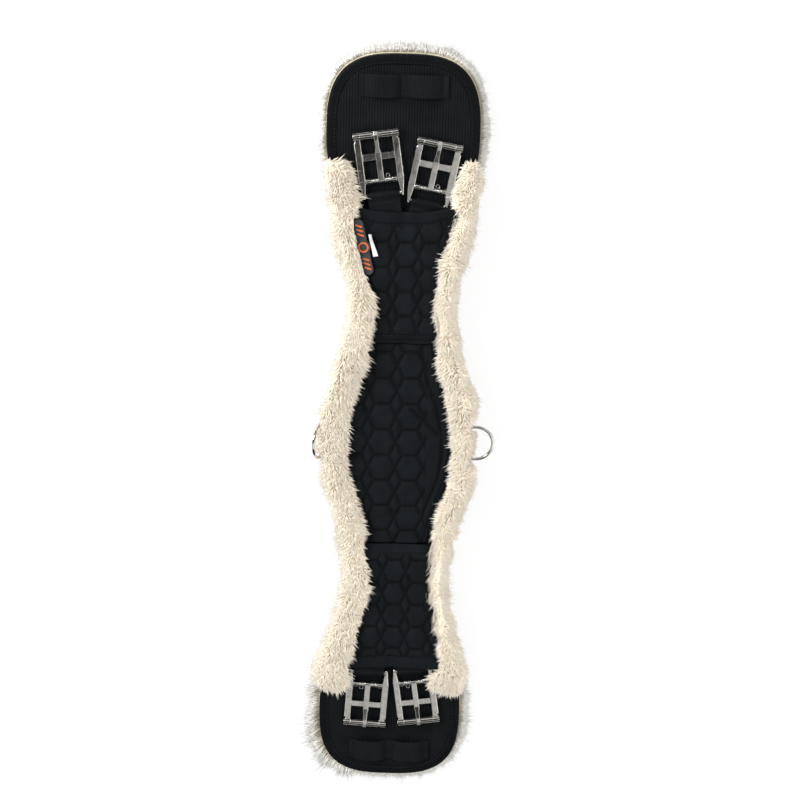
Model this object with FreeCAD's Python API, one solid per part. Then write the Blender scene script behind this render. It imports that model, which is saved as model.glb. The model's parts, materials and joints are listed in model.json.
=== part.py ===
"""Saddle girth: a padded girth with quilted outer side, removable fur liner and four roller buckles.

Frame, in millimetres: the girth lies flat with its fur (horse) side down on z = 0, +Z points away from
the horse, Y runs along the girth and X across it. The origin is the middle of the horse side.
The "near" end is at +Y and the "off" end at -Y; the "front" edge is at -X and the "rear" edge at +X.
"""
import FreeCAD, Part

import math
import os

Vec = FreeCAD.Vector

# --- overall sizes -------------------------------------------------------------------------------
GIRTH_LENGTH = 674.0        # end plate edge to end plate edge
PLATE_WIDTH = 129.0         # end plates, across
BELLY_WIDTH = 124.0         # padded body at its middle
PLATE_DEPTH = 67.0          # from the widest place of an end plate to its end
WAIST_AT = 125.0            # from the middle to each narrow waist
PLATE_ROUNDNESS = 3.0       # exponent of the rounded plate end: 2 is an ellipse, more is squarer

# --- fastening bands -----------------------------------------------------------------------------
STRAP_SIDE_GAP = 0.9        # webbing loop to the buckle's legs, each side
STRAP_THICK = 3.2           # two layers sewn together
STRAP_LENGTH = 22.0         # from the strap bar back to the elastic
ELASTIC_NARROWER = 1.0      # elastic is this much narrower than the webbing loop
ELASTIC_THICK = 2.0
ELASTIC_GAP = 1.4           # between the two elastics of one end
ELASTIC_SIDE_ROOM = 2.3     # from an elastic's edge to the sleeve's seam at the waist
ANCHOR_LENGTH = 10.0        # stitched patch under the fixed end of the elastics
ANCHOR_INSET = 4.0          # patch from the sleeve's hem
STRETCH = {"near": 22.0, "off": 13.0}   # how far the buckles pull out, clear of the keeper

# --- layers, from the horse side up --------------------------------------------------------------
PILE_DEPTH = 12.0           # fur under the girth
HIDE_THICK = 1.0            # backing of the fur
TAPE_THICK = 1.0            # hook and loop between liner and girth
PANEL_THICK = 6.0           # padded body
WEBBING_THICK = 1.5
BINDING_THICK = 1.8
BELLY_THICK = 5.5
SLEEVE_WALL = 3.5
STRAP_ROOM = 1.0            # space over the webbing loops in a sleeve
WING_HEIGHT = 18.0          # rolled fur above the padded body
SOFT_GAP = 0.3              # clearance between soft neighbours
SEAM_GAP = 0.05             # clearance where one cloth is sewn round another

# --- how far the layers stand in or out of the body's edge ---------------------------------------
PILE_OVERHANG = 9.0
WING_OVERHANG = 13.0
WING_REACH = {"front": 12.0, "rear": 9.0}
HIDE_OVERHANG = 2.0
BINDING_WIDTH = 7.0
BINDING_WRAP = 1.0          # thickness of the binding over the body's edge
SLEEVE_INSET = 4.5
SLEEVE_SEAM = 2.0
BELLY_INSET = 8.0
TAPE_INSET = 12.0

# --- places along the girth ----------------------------------------------------------------------
SLEEVE_HEM = {"near": 87.8, "off": 103.0}           # inner end of a sleeve, from the middle
SLEEVE_MOUTH_INSET = {"near": 133.5, "off": 114.5}  # open end, from the plate's end
WING_END_INSET = 90.0
KEEPER_INSET = 15.5         # strip's outer edge, from the plate's end
KEEPER_HEIGHT = 19.5
KEEPER_THICK = 1.5
KEEPER_ROOM = 5.0           # clear height under the strip
KEEPER_RAMP = 5.0           # run of each sloping side of the strip
KEEPER_STITCH = 2.0         # half width of the strip's stitched middle

# --- buckles, in a local frame: strap bar at the origin, roller towards +y, frame flat on z = 0 --
BUCKLE_INSIDE = 27.0        # clear width for the billet
SIDE_BAR_WIDTH = 6.0
SIDE_BAR_THICK = 3.2
BAR_TO_ROLLER = 52.0
TONGUE_BAR_AT = 12.5        # from the strap bar
MIDDLE_BAR_AT = 33.0
MIDDLE_BAR_WIDTH = 5.5
MIDDLE_BAR_THICK = 1.6
MIDDLE_BAR_RISE = 0.2       # its underside above the side bars' underside
BAR_ROOT = 1.0              # how far the cross bars run into the side bars
LEG_TAPER = 2.2             # how far the outer edge draws in at the leg's tip
LEG_TIP_WIDTH = 2.0
LEG_TIP_PAST_BAR = 2.7
LEG_FLARE = 0.4             # extra leg width just behind the strap bar
BARREL_STEP = 1.0           # side bar's set-back and run-out behind a barrel
ROLLER_R = 3.5
AXLE_R = 1.9
BARREL_LENGTH = 5.8
ROLLER_END_GAP = 0.2
GROOVE_SIDE_GAP = 0.4       # roller's groove to the tongue's tip, each side
GROOVE_DEPTH = 0.9
STRAP_BAR_R = 1.7
RUNNING_GAP = 0.05          # radial clearance of what turns on a bar
SEAT_GAP = 0.02             # radial clearance of what is fixed on a bar
PIN_R = 1.3
PIN_END_INSET = 0.6
KNUCKLE_R = 2.7
TONGUE_WIDTH = 4.8
TONGUE_TIP_WIDTH = 3.4
TONGUE_THICK = 2.3
TONGUE_OVERHANG = 3.2       # tip beyond the roller's centre
TONGUE_REST_GAP = 0.15      # tip above the roller's groove
TONGUE_BAR_GAP = 0.4        # blade above the middle bar
TONGUE_RUN_OUT = 1.0        # straight blade past the middle bar and before the roller
TONGUE_SHOULDER = 4.0       # length over which the blade narrows to its tip
COLLAR_R = 3.0
SPRING_WIRE = 0.8
SPRING_TURNS = 8
SPRING_EYE_R = 1.6
SPRING_GAP = 0.25           # coil's clearance round the pin and beside the tongue
BEVEL = 0.6
BUCKLE_LIFT = 0.4           # roller above the webbing of the plate

# as laid: strap edge from the girth's centre line, strap bar from the plate's end, outward splay in degrees
BUCKLES = {
    "near_front": {"end": 1, "side": -1, "strap_out": 1.7, "bar_inset": 117.7, "splay": 8.5},
    "near_rear": {"end": 1, "side": 1, "strap_out": 7.9, "bar_inset": 124.6, "splay": 10.5},
    "off_front": {"end": -1, "side": -1, "strap_out": 5.7, "bar_inset": 106.1, "splay": 3.5},
    "off_rear": {"end": -1, "side": 1, "strap_out": 6.3, "bar_inset": 109.4, "splay": 8.0},
}

# --- D-rings, in a local frame: straight bar along y at the origin, bow towards +x ----------------
RING_WIRE_R = 1.5
RING_HALF = 15.0            # wire centre line, half the ring's height and the bow's radius
RING_ARM = 5.0              # straight arm before the bow
RING_CORNER = 3.0
RING_AT_Y = -5.0
RING_BAR_OUT = 4.5          # bar beyond the body's edge
RING_TILT = {"front": 72.0, "rear": 0.0}            # how far each ring stands up as it lies
TAB_END_GAP = 1.0           # tab to the ring's rounded corners, each end
TAB_THICK = 3.0
NOTCH_GAP = 2.0             # fur to the ring, each side
NOTCH_OUT = 1.5             # notch's floor beyond the body's edge

# --- badge and care label at the near sleeve's front edge -----------------------------------------
BADGE_AT = (-32.0, 174.0)
BADGE_TURN = 13.4
BADGE_LENGTH = 50.0
BADGE_WIDTH = 9.0
BADGE_THICK = 1.4
BOSS_R = 6.0
BOSS_THICK = 2.4
LABEL_LENGTH = 20.0
LABEL_WIDTH = 3.4
LABEL_THICK = 0.6
LABEL_GAP = 0.5

# --- sizes that follow ----------------------------------------------------------------------------
HALF_LENGTH = GIRTH_LENGTH / 2
PLATE_AT = HALF_LENGTH - PLATE_DEPTH
BUCKLE_OUTSIDE = BUCKLE_INSIDE + 2 * SIDE_BAR_WIDTH
LEG_INSIDE = BUCKLE_OUTSIDE - 2 * (LEG_TAPER + LEG_TIP_WIDTH + LEG_FLARE)
STRAP_WIDTH = LEG_INSIDE - 2 * STRAP_SIDE_GAP
ELASTIC_WIDTH = STRAP_WIDTH - ELASTIC_NARROWER
WAIST_WIDTH = 2 * (ELASTIC_GAP / 2 + ELASTIC_WIDTH + ELASTIC_SIDE_ROOM + SLEEVE_SEAM + SLEEVE_INSET)
HIDE_Z = PILE_DEPTH
TAPE_Z = HIDE_Z + HIDE_THICK
PANEL_Z = TAPE_Z + TAPE_THICK
TOP_Z = PANEL_Z + PANEL_THICK
WEBBING_Z = TOP_Z + WEBBING_THICK
BELLY_Z = TOP_Z + BELLY_THICK
BUCKLE_Z = WEBBING_Z + BUCKLE_LIFT + ROLLER_R
SLEEVE_Z = BUCKLE_Z + STRAP_THICK / 2 + STRAP_ROOM + SLEEVE_WALL
WING_Z = TOP_Z + WING_HEIGHT
MOUTH = {end: HALF_LENGTH - SLEEVE_MOUTH_INSET[end] for end in ("near", "off")}
WING_END = HALF_LENGTH - WING_END_INSET
RING_BAR_X = BELLY_WIDTH / 2 + RING_BAR_OUT
RING_BAR_Z = TOP_Z + TAB_THICK / 2
TAB_WIDTH = 2 * (RING_HALF - RING_CORNER - TAB_END_GAP)
NOTCH_HALF = RING_HALF + RING_WIRE_R + NOTCH_GAP
GROOVE_WIDTH = TONGUE_TIP_WIDTH + 2 * GROOVE_SIDE_GAP
SPRING_LENGTH = SPRING_TURNS * SPRING_WIRE
END_SIGN = {"near": 1, "off": -1}
SIDE_SIGN = {"front": -1, "rear": 1}
FAR = GIRTH_LENGTH          # larger than anything here, for cutting boxes
OUTLINE_STEPS = 12          # outline points in each stretch of one quarter


def save(name, shape):
    """Write one sub-part."""
    shape.exportStep(f"parts/{name}.step")


def half_width(y):
    """Half the body's width at y: cosine waves from belly to waist to plate, then a rounded end."""
    y = abs(y)
    belly, waist, plate = BELLY_WIDTH / 2, WAIST_WIDTH / 2, PLATE_WIDTH / 2
    if y <= WAIST_AT:
        return waist + (belly - waist) * (1 + math.cos(math.pi * y / WAIST_AT)) / 2
    if y <= PLATE_AT:
        share = (y - WAIST_AT) / (PLATE_AT - WAIST_AT)
        return waist + (plate - waist) * (1 - math.cos(math.pi * share)) / 2
    share = min(1.0, (y - PLATE_AT) / PLATE_DEPTH)
    return plate * (1 - share ** PLATE_ROUNDNESS) ** (1 / PLATE_ROUNDNESS)


def outline_points(margin):
    """The body's outline, moved outwards by the margin, as points all the way round."""
    steps = range(OUTLINE_STEPS)
    quarter = [(half_width(y), y) for y in (WAIST_AT * i / OUTLINE_STEPS for i in steps)]
    reach = PLATE_AT - WAIST_AT
    quarter += [(half_width(y), y) for y in (WAIST_AT + reach * i / OUTLINE_STEPS for i in steps)]
    power = 2 / PLATE_ROUNDNESS
    for i in steps:
        turn = math.pi / 2 * i / OUTLINE_STEPS
        x, y = PLATE_WIDTH / 2 * math.cos(turn) ** power, PLATE_DEPTH * math.sin(turn) ** power
        quarter.append((x, PLATE_AT + y))
    top = quarter + [(0.0, HALF_LENGTH)] + [(-x, y) for x, y in quarter[:0:-1]]
    ring = top + [(-x, -y) for x, y in top]
    moved = []
    for i, (x, y) in enumerate(ring):
        before, after = ring[i - 1], ring[(i + 1) % len(ring)]
        along = (after[0] - before[0], after[1] - before[1])
        size = math.hypot(*along)
        moved.append(Vec(x + margin * along[1] / size, y - margin * along[0] / size, 0))
    return moved


def slab(margin, low, high):
    """A plate of the body's outline moved outwards by the margin, between two heights."""
    curve = Part.BSplineCurve()
    curve.interpolate(Points=outline_points(margin), PeriodicFlag=True)
    face = Part.Face(Part.Wire([curve.toShape()]))
    face.translate(Vec(0, 0, low))
    return face.extrude(Vec(0, 0, high - low))


def box(x, y, z):
    """A box between two corners, given as (low, high) pairs."""
    return Part.makeBox(x[1] - x[0], y[1] - y[0], z[1] - z[0], Vec(x[0], y[0], z[0]))


def stretch(end, start, stop, z=(-1.0, FAR)):
    """A cutting box over one end of the girth, from one distance to another from the middle."""
    low, high = sorted((END_SIGN[end] * start, END_SIGN[end] * stop))
    return box((-FAR, FAR), (low, high), z)


def rod(radius, x_low, x_high, y=0.0, z=0.0):
    """A round bar across, between two x positions."""
    return Part.makeCylinder(radius, x_high - x_low, Vec(x_low, y, z), Vec(1, 0, 0))


def prism(points, low, high):
    """A flat polygon raised between two heights."""
    face = Part.Face(Part.makePolygon([Vec(x, y, low) for x, y in points + points[:1]]))
    return face.extrude(Vec(0, 0, high - low))


def side_profile(points, half):
    """A polygon in the local y-z plane carried across from -half to half."""
    face = Part.Face(Part.makePolygon([Vec(-half, y, z) for y, z in points + points[:1]]))
    return face.extrude(Vec(2 * half, 0, 0))


def mirrored(shape):
    """The same shape on the other side of x = 0."""
    return shape.mirror(Vec(0, 0, 0), Vec(1, 0, 0))


# --- the padded body ------------------------------------------------------------------------------
def sleeve_block(end, grow=0.0):
    """Outer shape of a sleeve; grow adds clearance all round."""
    block = slab(grow - SLEEVE_INSET, TOP_Z, SLEEVE_Z + grow)
    return block.common(stretch(end, SLEEVE_HEM[end] - grow, MOUTH[end] + grow))


def sleeve(end):
    """Quilted cover sewn down along both edges and open at both ends."""
    tunnel = slab(-SLEEVE_INSET - SLEEVE_SEAM, TOP_Z - 1, SLEEVE_Z - SLEEVE_WALL)
    return sleeve_block(end).cut(tunnel)


def belly_block(grow=0.0):
    """Quilted panel between the two sleeves' hems."""
    block = slab(grow - BELLY_INSET, TOP_Z, BELLY_Z + grow)
    gap = SOFT_GAP - grow
    reach = (gap - SLEEVE_HEM["off"], SLEEVE_HEM["near"] - gap)
    return block.common(box((-FAR, FAR), reach, (-1, FAR)))


def end_webbing(end, grow=0.0):
    """Ribbed facing of an end plate, inside the binding."""
    block = slab(grow - BINDING_WIDTH - SOFT_GAP, TOP_Z, WEBBING_Z + grow)
    return block.common(stretch(end, MOUTH[end] + SOFT_GAP - grow, FAR))


def binding(end):
    """Edge tape of an end plate: a strip on top that wraps down over the body's edge."""
    ring = slab(BINDING_WRAP, PANEL_Z, TOP_Z + BINDING_THICK)
    ring = ring.cut(slab(-BINDING_WIDTH, TOP_Z, TOP_Z + BINDING_THICK))
    ring = ring.cut(slab(SEAM_GAP, PANEL_Z, TOP_Z))
    return ring.common(stretch(end, WING_END + SOFT_GAP, FAR))


def keeper(end):
    """Webbing strip for the billet ends: stitched at its middle and its two ends, open between."""
    outer_y = HALF_LENGTH - KEEPER_INSET
    half = max(p.x for p in outline_points(-BINDING_WIDTH - 2 * SOFT_GAP) if p.y >= outer_y)
    low, high = WEBBING_Z, WEBBING_Z + KEEPER_ROOM
    foot = KEEPER_THICK * 2
    top = high + KEEPER_THICK
    outer = [(0, low), (KEEPER_RAMP, top), (half - KEEPER_RAMP, top), (half, low)]
    inner = [(half - foot, low), (half - foot - KEEPER_RAMP, high), (foot + KEEPER_RAMP, high), (foot, low)]
    face = Part.Face(Part.makePolygon([Vec(x, 0, z) for x, z in outer + inner + outer[:1]]))
    loop = face.extrude(Vec(0, KEEPER_HEIGHT, 0))
    seam = box((-KEEPER_STITCH, KEEPER_STITCH), (0, KEEPER_HEIGHT), (low, low + KEEPER_THICK))
    strip = seam.fuse([loop, mirrored(loop)]).removeSplitter()
    start = min(END_SIGN[end] * outer_y, END_SIGN[end] * (outer_y - KEEPER_HEIGHT))
    strip.translate(Vec(0, start, 0))
    return strip


def anchor(end):
    """Stitched stack that the fixed ends of two elastics are sewn to."""
    half = ELASTIC_GAP / 2 + ELASTIC_WIDTH
    start = SLEEVE_HEM[end] + ANCHOR_INSET
    low, high = sorted((END_SIGN[end] * start, END_SIGN[end] * (start + ANCHOR_LENGTH)))
    return box((-half, half), (low, high), (TOP_Z, BUCKLE_Z - ELASTIC_THICK / 2))


# --- D-rings --------------------------------------------------------------------------------------
def ring_tab(side, grow=0.0):
    """Folded webbing that holds a D-ring's straight bar, sewn onto the body beside the belly panel."""
    inner = BELLY_WIDTH / 2 - BELLY_INSET + SOFT_GAP
    half, thick = TAB_WIDTH / 2 + grow, TAB_THICK / 2 + grow
    flat = box((inner - grow, RING_BAR_X), (-half, half), (-thick, thick))
    round_end = Part.makeCylinder(TAB_THICK + grow, 2 * half, Vec(RING_BAR_X, -half, 0), Vec(0, 1, 0))
    tab = flat.fuse(round_end)
    if grow == 0.0:
        start = Vec(RING_BAR_X, -TAB_WIDTH, 0)
        tab = tab.cut(Part.makeCylinder(RING_WIRE_R + RUNNING_GAP, 2 * TAB_WIDTH, start, Vec(0, 1, 0)))
    tab.translate(Vec(0, RING_AT_Y, RING_BAR_Z))
    return tab if side == "rear" else mirrored(tab)


def ring_notch(side):
    """Space that the fur leaves free round a D-ring."""
    reach = (RING_AT_Y - NOTCH_HALF, RING_AT_Y + NOTCH_HALF)
    notch = box((BELLY_WIDTH / 2 + NOTCH_OUT, FAR), reach, (-1, FAR))
    return notch if side == "rear" else mirrored(notch)


def d_ring(side):
    """Bent wire ring: straight bar, two rounded corners, two short arms and a half-round bow."""
    c, h, s = RING_CORNER, RING_HALF, math.sqrt(0.5)
    half_path = [
        Part.LineSegment(Vec(0, 0, 0), Vec(0, h - c, 0)),
        Part.Arc(Vec(0, h - c, 0), Vec(c - c * s, h - c + c * s, 0), Vec(c, h, 0)),
        Part.LineSegment(Vec(c, h, 0), Vec(RING_ARM, h, 0)),
        Part.Arc(Vec(RING_ARM, h, 0), Vec(RING_ARM + h * s, h * s, 0), Vec(RING_ARM + h, 0, 0)),
    ]
    path = Part.Wire([piece.toShape() for piece in half_path])
    section = Part.Wire([Part.Circle(Vec(0, 0, 0), Vec(0, 1, 0), RING_WIRE_R).toShape()])
    half_ring = path.makePipeShell([section], True, False)
    ring = half_ring.fuse(half_ring.mirror(Vec(0, 0, 0), Vec(0, 1, 0))).removeSplitter()
    ring.rotate(Vec(0, 0, 0), Vec(0, 1, 0), -RING_TILT[side])
    ring.translate(Vec(RING_BAR_X, RING_AT_Y, RING_BAR_Z))
    return ring if side == "rear" else mirrored(ring)


# --- badge and care label -------------------------------------------------------------------------
def on_badge_spot(shape):
    """Put a shape built round the badge's own centre onto the near sleeve."""
    shape.rotate(Vec(0, 0, 0), Vec(0, 0, 1), BADGE_TURN)
    shape.translate(Vec(BADGE_AT[0], BADGE_AT[1], SLEEVE_Z))
    return shape


def rubber_badge(grow=0.0):
    """Moulded strip with rounded ends and a plain round boss in its middle."""
    half, reach = BADGE_WIDTH / 2 + grow, BADGE_LENGTH / 2 - BADGE_WIDTH / 2
    height = BADGE_THICK + grow
    strip = box((-half, half), (-reach, reach), (0, height))
    ends = [Part.makeCylinder(half, height, Vec(0, y, 0)) for y in (-reach, reach)]
    boss = Part.makeCylinder(BOSS_R + grow, BOSS_THICK + grow)
    return on_badge_spot(strip.fuse(ends + [boss]).removeSplitter())


def care_label(grow=0.0):
    """Blank folded tag beside the badge."""
    middle = BOSS_R + LABEL_GAP + LABEL_WIDTH / 2
    half, reach = LABEL_WIDTH / 2 + grow, LABEL_LENGTH / 2 + grow
    return on_badge_spot(box((middle - half, middle + half), (-reach, reach), (0, LABEL_THICK + grow)))


# --- fur ------------------------------------------------------------------------------------------
def fur_wing(side):
    """Rolled edge of the fur liner, folded up over the body's edge and laid on what it covers."""
    roll = slab(WING_OVERHANG, PILE_DEPTH + SOFT_GAP, WING_Z).cut(slab(-WING_REACH[side], 0, FAR))
    x = (0, FAR) if side == "rear" else (-FAR, 0)
    roll = roll.common(box(x, (-WING_END, WING_END), (-1, FAR)))
    covered = [slab(HIDE_OVERHANG + SOFT_GAP, 0, PANEL_Z), slab(SOFT_GAP, PANEL_Z - 1, TOP_Z + SOFT_GAP)]
    covered += [belly_block(SOFT_GAP), ring_tab(side, SOFT_GAP), ring_notch(side)]
    for end in END_SIGN:
        covered += [sleeve_block(end, SOFT_GAP), end_webbing(end, SOFT_GAP)]
    if side == "front":
        covered += [rubber_badge(SOFT_GAP), care_label(SOFT_GAP)]
    return roll.cut(covered)


def fur_liner():
    """Short fur under the whole girth, standing out all round it."""
    return slab(PILE_OVERHANG, 0, PILE_DEPTH).cut([ring_notch("front"), ring_notch("rear")])


# --- buckle pieces, each in the buckle's local frame ----------------------------------------------
def buckle_frame():
    """Two side bars with tapering legs, end barrels with an axle, a middle bar and a strap bar."""
    inside, outside = BUCKLE_INSIDE / 2, BUCKLE_OUTSIDE / 2
    tip = outside - LEG_TAPER
    shoulder = BAR_TO_ROLLER - ROLLER_R - BARREL_STEP
    edge = [
        (inside, BAR_TO_ROLLER), (outside - BARREL_STEP, BAR_TO_ROLLER), (outside - BARREL_STEP, shoulder),
        (outside, shoulder - BARREL_STEP), (outside, TONGUE_BAR_AT), (tip, -LEG_TIP_PAST_BAR),
        (tip - LEG_TIP_WIDTH, -LEG_TIP_PAST_BAR), (tip - LEG_TIP_WIDTH - LEG_FLARE, STRAP_BAR_R),
        (inside, TONGUE_BAR_AT),
    ]
    half = SIDE_BAR_THICK / 2
    side_bar = prism(edge, -half, half)
    long_edges = [e for e in side_bar.Edges if abs(e.CenterOfMass.z) > half / 2]
    side_bar = side_bar.makeChamfer(BEVEL, long_edges)
    barrel = rod(ROLLER_R, outside - BARREL_LENGTH, outside, BAR_TO_ROLLER)
    root, base = inside + BAR_ROOT, MIDDLE_BAR_RISE - half
    middle_y = MIDDLE_BAR_AT - MIDDLE_BAR_WIDTH / 2, MIDDLE_BAR_AT + MIDDLE_BAR_WIDTH / 2
    middle = box((-root, root), middle_y, (base, base + MIDDLE_BAR_THICK))
    axle = rod(AXLE_R, -root, root, BAR_TO_ROLLER)
    strap_bar = rod(STRAP_BAR_R, BAR_ROOT - tip, tip - BAR_ROOT)
    pin_hole = rod(PIN_R + SEAT_GAP, -outside, outside, TONGUE_BAR_AT)
    pieces = [mirrored(side_bar), barrel, mirrored(barrel), middle, axle, strap_bar]
    return side_bar.fuse(pieces).cut(pin_hole).removeSplitter()


def roller():
    """Tube that turns on the axle, with a groove in its middle for the tongue's tip."""
    half = BUCKLE_OUTSIDE / 2 - BARREL_LENGTH - ROLLER_END_GAP
    tube = rod(ROLLER_R, -half, half, BAR_TO_ROLLER)
    groove = rod(ROLLER_R + 1, -GROOVE_WIDTH / 2, GROOVE_WIDTH / 2, BAR_TO_ROLLER)
    groove = groove.cut(rod(ROLLER_R - GROOVE_DEPTH, -GROOVE_WIDTH, GROOVE_WIDTH, BAR_TO_ROLLER))
    return tube.cut([groove, rod(AXLE_R + RUNNING_GAP, -half, half, BAR_TO_ROLLER)])


def tongue():
    """Knuckle on the tongue bar and a blade that passes over the middle bar onto the roller."""
    rest = ROLLER_R - GROOVE_DEPTH + TONGUE_REST_GAP
    over = MIDDLE_BAR_RISE - SIDE_BAR_THICK / 2 + MIDDLE_BAR_THICK + TONGUE_BAR_GAP
    tip = BAR_TO_ROLLER + TONGUE_OVERHANG
    bend = MIDDLE_BAR_AT + MIDDLE_BAR_WIDTH / 2 + TONGUE_RUN_OUT
    rise = BAR_TO_ROLLER - ROLLER_R - TONGUE_RUN_OUT
    side = [
        (TONGUE_BAR_AT, over), (bend, over), (rise, rest), (tip, rest), (tip, rest + TONGUE_THICK / 3),
        (BAR_TO_ROLLER, rest + TONGUE_THICK), (rise, rest + TONGUE_THICK), (bend, over + TONGUE_THICK),
        (TONGUE_BAR_AT, KNUCKLE_R),
    ]
    blade = side_profile(side, TONGUE_WIDTH / 2)
    wide, slim = TONGUE_WIDTH / 2, TONGUE_TIP_WIDTH / 2
    back, neck = TONGUE_BAR_AT - KNUCKLE_R, bend + TONGUE_SHOULDER
    plan = [(wide, back), (wide, bend), (slim, neck), (slim, tip)]
    plan += [(-x, y) for x, y in reversed(plan)]
    blade = blade.common(prism(plan, -KNUCKLE_R, 3 * KNUCKLE_R))
    knuckle = rod(KNUCKLE_R, -wide, wide, TONGUE_BAR_AT)
    return knuckle.fuse(blade).cut(rod(PIN_R + RUNNING_GAP, -wide, wide, TONGUE_BAR_AT)).removeSplitter()


def tongue_bar():
    """Pin through both side bars that the tongue turns on."""
    half = BUCKLE_OUTSIDE / 2 - PIN_END_INSET
    return rod(PIN_R, -half, half, TONGUE_BAR_AT)


def bar_collars():
    """Two collars that keep the spring and the tongue in the middle of the tongue bar."""
    inner, outer = TONGUE_WIDTH / 2 + SPRING_LENGTH + 2 * SPRING_GAP, BUCKLE_INSIDE / 2 - ROLLER_END_GAP
    collar = rod(COLLAR_R, inner, outer, TONGUE_BAR_AT)
    collar = collar.cut(rod(PIN_R + SEAT_GAP, inner, outer, TONGUE_BAR_AT))
    return Part.makeCompound([collar, mirrored(collar)])


def tongue_spring():
    """Torsion spring in two closed coils, one each side of the tongue, with an eye on one of them."""
    inner, start = PIN_R + SPRING_GAP, TONGUE_WIDTH / 2 + SPRING_GAP
    outer = inner + SPRING_WIRE / 2
    edges = []
    for i in range(SPRING_TURNS):
        x = start + i * SPRING_WIRE
        crown = Vec(x + SPRING_WIRE / 2, outer + SPRING_WIRE / 2, 0)
        edges.append(Part.Arc(Vec(x, outer, 0), crown, Vec(x + SPRING_WIRE, outer, 0)).toShape())
    stop = start + SPRING_LENGTH
    corners = [Vec(stop, outer, 0), Vec(stop, inner, 0), Vec(start, inner, 0), Vec(start, outer, 0)]
    edges += [Part.LineSegment(a, b).toShape() for a, b in zip(corners, corners[1:])]
    coil = Part.Face(Part.Wire(edges)).revolve(Vec(0, 0, 0), Vec(1, 0, 0), 360)
    coil.translate(Vec(0, TONGUE_BAR_AT, 0))
    eye_y = TONGUE_BAR_AT + outer + SPRING_EYE_R
    eye = Part.makeTorus(SPRING_EYE_R, SPRING_WIRE / 2, Vec((start + stop) / 2, eye_y, 0))
    return Part.makeCompound([coil.fuse(eye), mirrored(coil)])


def strap_loop():
    """Webbing folded round the strap bar and sewn to itself."""
    half = STRAP_WIDTH / 2
    thick = STRAP_THICK / 2
    flat = box((-half, half), (-STRAP_LENGTH, 0), (-thick, thick))
    loop = flat.fuse(rod(STRAP_BAR_R + RUNNING_GAP + thick, -half, half))
    return loop.cut(rod(STRAP_BAR_R + RUNNING_GAP, -half, half))


def buckle_place(name):
    """Where a buckle lies: its turn about Z in degrees and its strap bar's centre."""
    b = BUCKLES[name]
    turn = -b["side"] * b["splay"] if b["end"] > 0 else 180 + b["side"] * b["splay"]
    across = b["side"] * (STRAP_WIDTH / 2 + b["strap_out"])
    return turn, Vec(across, b["end"] * (HALF_LENGTH - b["bar_inset"]), BUCKLE_Z)


def placed(shape, name):
    """A local buckle piece, moved to where that buckle lies."""
    turn, bar = buckle_place(name)
    moved = shape.copy()
    moved.rotate(Vec(0, 0, 0), Vec(0, 0, 1), turn)
    moved.translate(bar)
    return moved


def elastic(name):
    """Wide elastic band from the anchor under the sleeve to the end of the webbing loop."""
    b = BUCKLES[name]
    turn, bar = buckle_place(name)
    spin = FreeCAD.Rotation(Vec(0, 0, 1), turn)
    half = ELASTIC_WIDTH / 2
    ends = [bar + spin.multVec(Vec(x, -STRAP_LENGTH, 0)) for x in (-b["end"] * half, b["end"] * half)]
    end = "near" if b["end"] > 0 else "off"
    inner = b["side"] * ELASTIC_GAP / 2
    anchor_x = sorted((inner, inner + b["side"] * ELASTIC_WIDTH))
    anchor_y = b["end"] * (SLEEVE_HEM[end] + ANCHOR_INSET)
    corners = [(p.x, p.y) for p in ends] + [(x, anchor_y) for x in reversed(anchor_x)]
    return prism(corners, BUCKLE_Z - ELASTIC_THICK / 2, BUCKLE_Z + ELASTIC_THICK / 2)


def build():
    """Make every sub-part, by node name."""
    parts = {
        "fur_liner": fur_liner(),
        "liner_backing": slab(HIDE_OVERHANG, HIDE_Z, TAPE_Z),
        "hook_tape": slab(-TAPE_INSET, TAPE_Z, PANEL_Z),
        "base_panel": slab(0, PANEL_Z, TOP_Z),
        "belly_panel": belly_block(),
        "rubber_badge": rubber_badge(),
        "care_label": care_label(),
    }
    for end in END_SIGN:
        parts[f"{end}_sleeve"] = sleeve(end)
        parts[f"{end}_end_webbing"] = end_webbing(end)
        parts[f"{end}_binding"] = binding(end)
        parts[f"{end}_keeper"] = keeper(end)
        parts[f"{end}_elastic_anchor"] = anchor(end)
    for side in SIDE_SIGN:
        parts[f"fur_wing_{side}"] = fur_wing(side)
        parts[f"{side}_ring_tab"] = ring_tab(side)
        parts[f"{side}_d_ring"] = d_ring(side)
    local = {
        "buckle_frame": buckle_frame(), "roller": roller(), "tongue": tongue(), "tongue_bar": tongue_bar(),
        "tongue_spring": tongue_spring(), "bar_collars": bar_collars(), "strap_loop": strap_loop(),
    }
    for name in BUCKLES:
        parts[f"{name}_elastic"] = elastic(name)
        for piece, shape in local.items():
            parts[f"{name}_{piece}"] = placed(shape, name)
    return parts


os.makedirs("parts", exist_ok=True)
for node, solid in build().items():
    save(node, solid)
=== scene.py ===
"""Saddle girth: fur liner, quilted body, webbing end plates and nickel roller buckles.

Built round the frame: +Z is the outer side, +Y the near end, -X the front edge. Lengths are in metres.
"""

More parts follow.
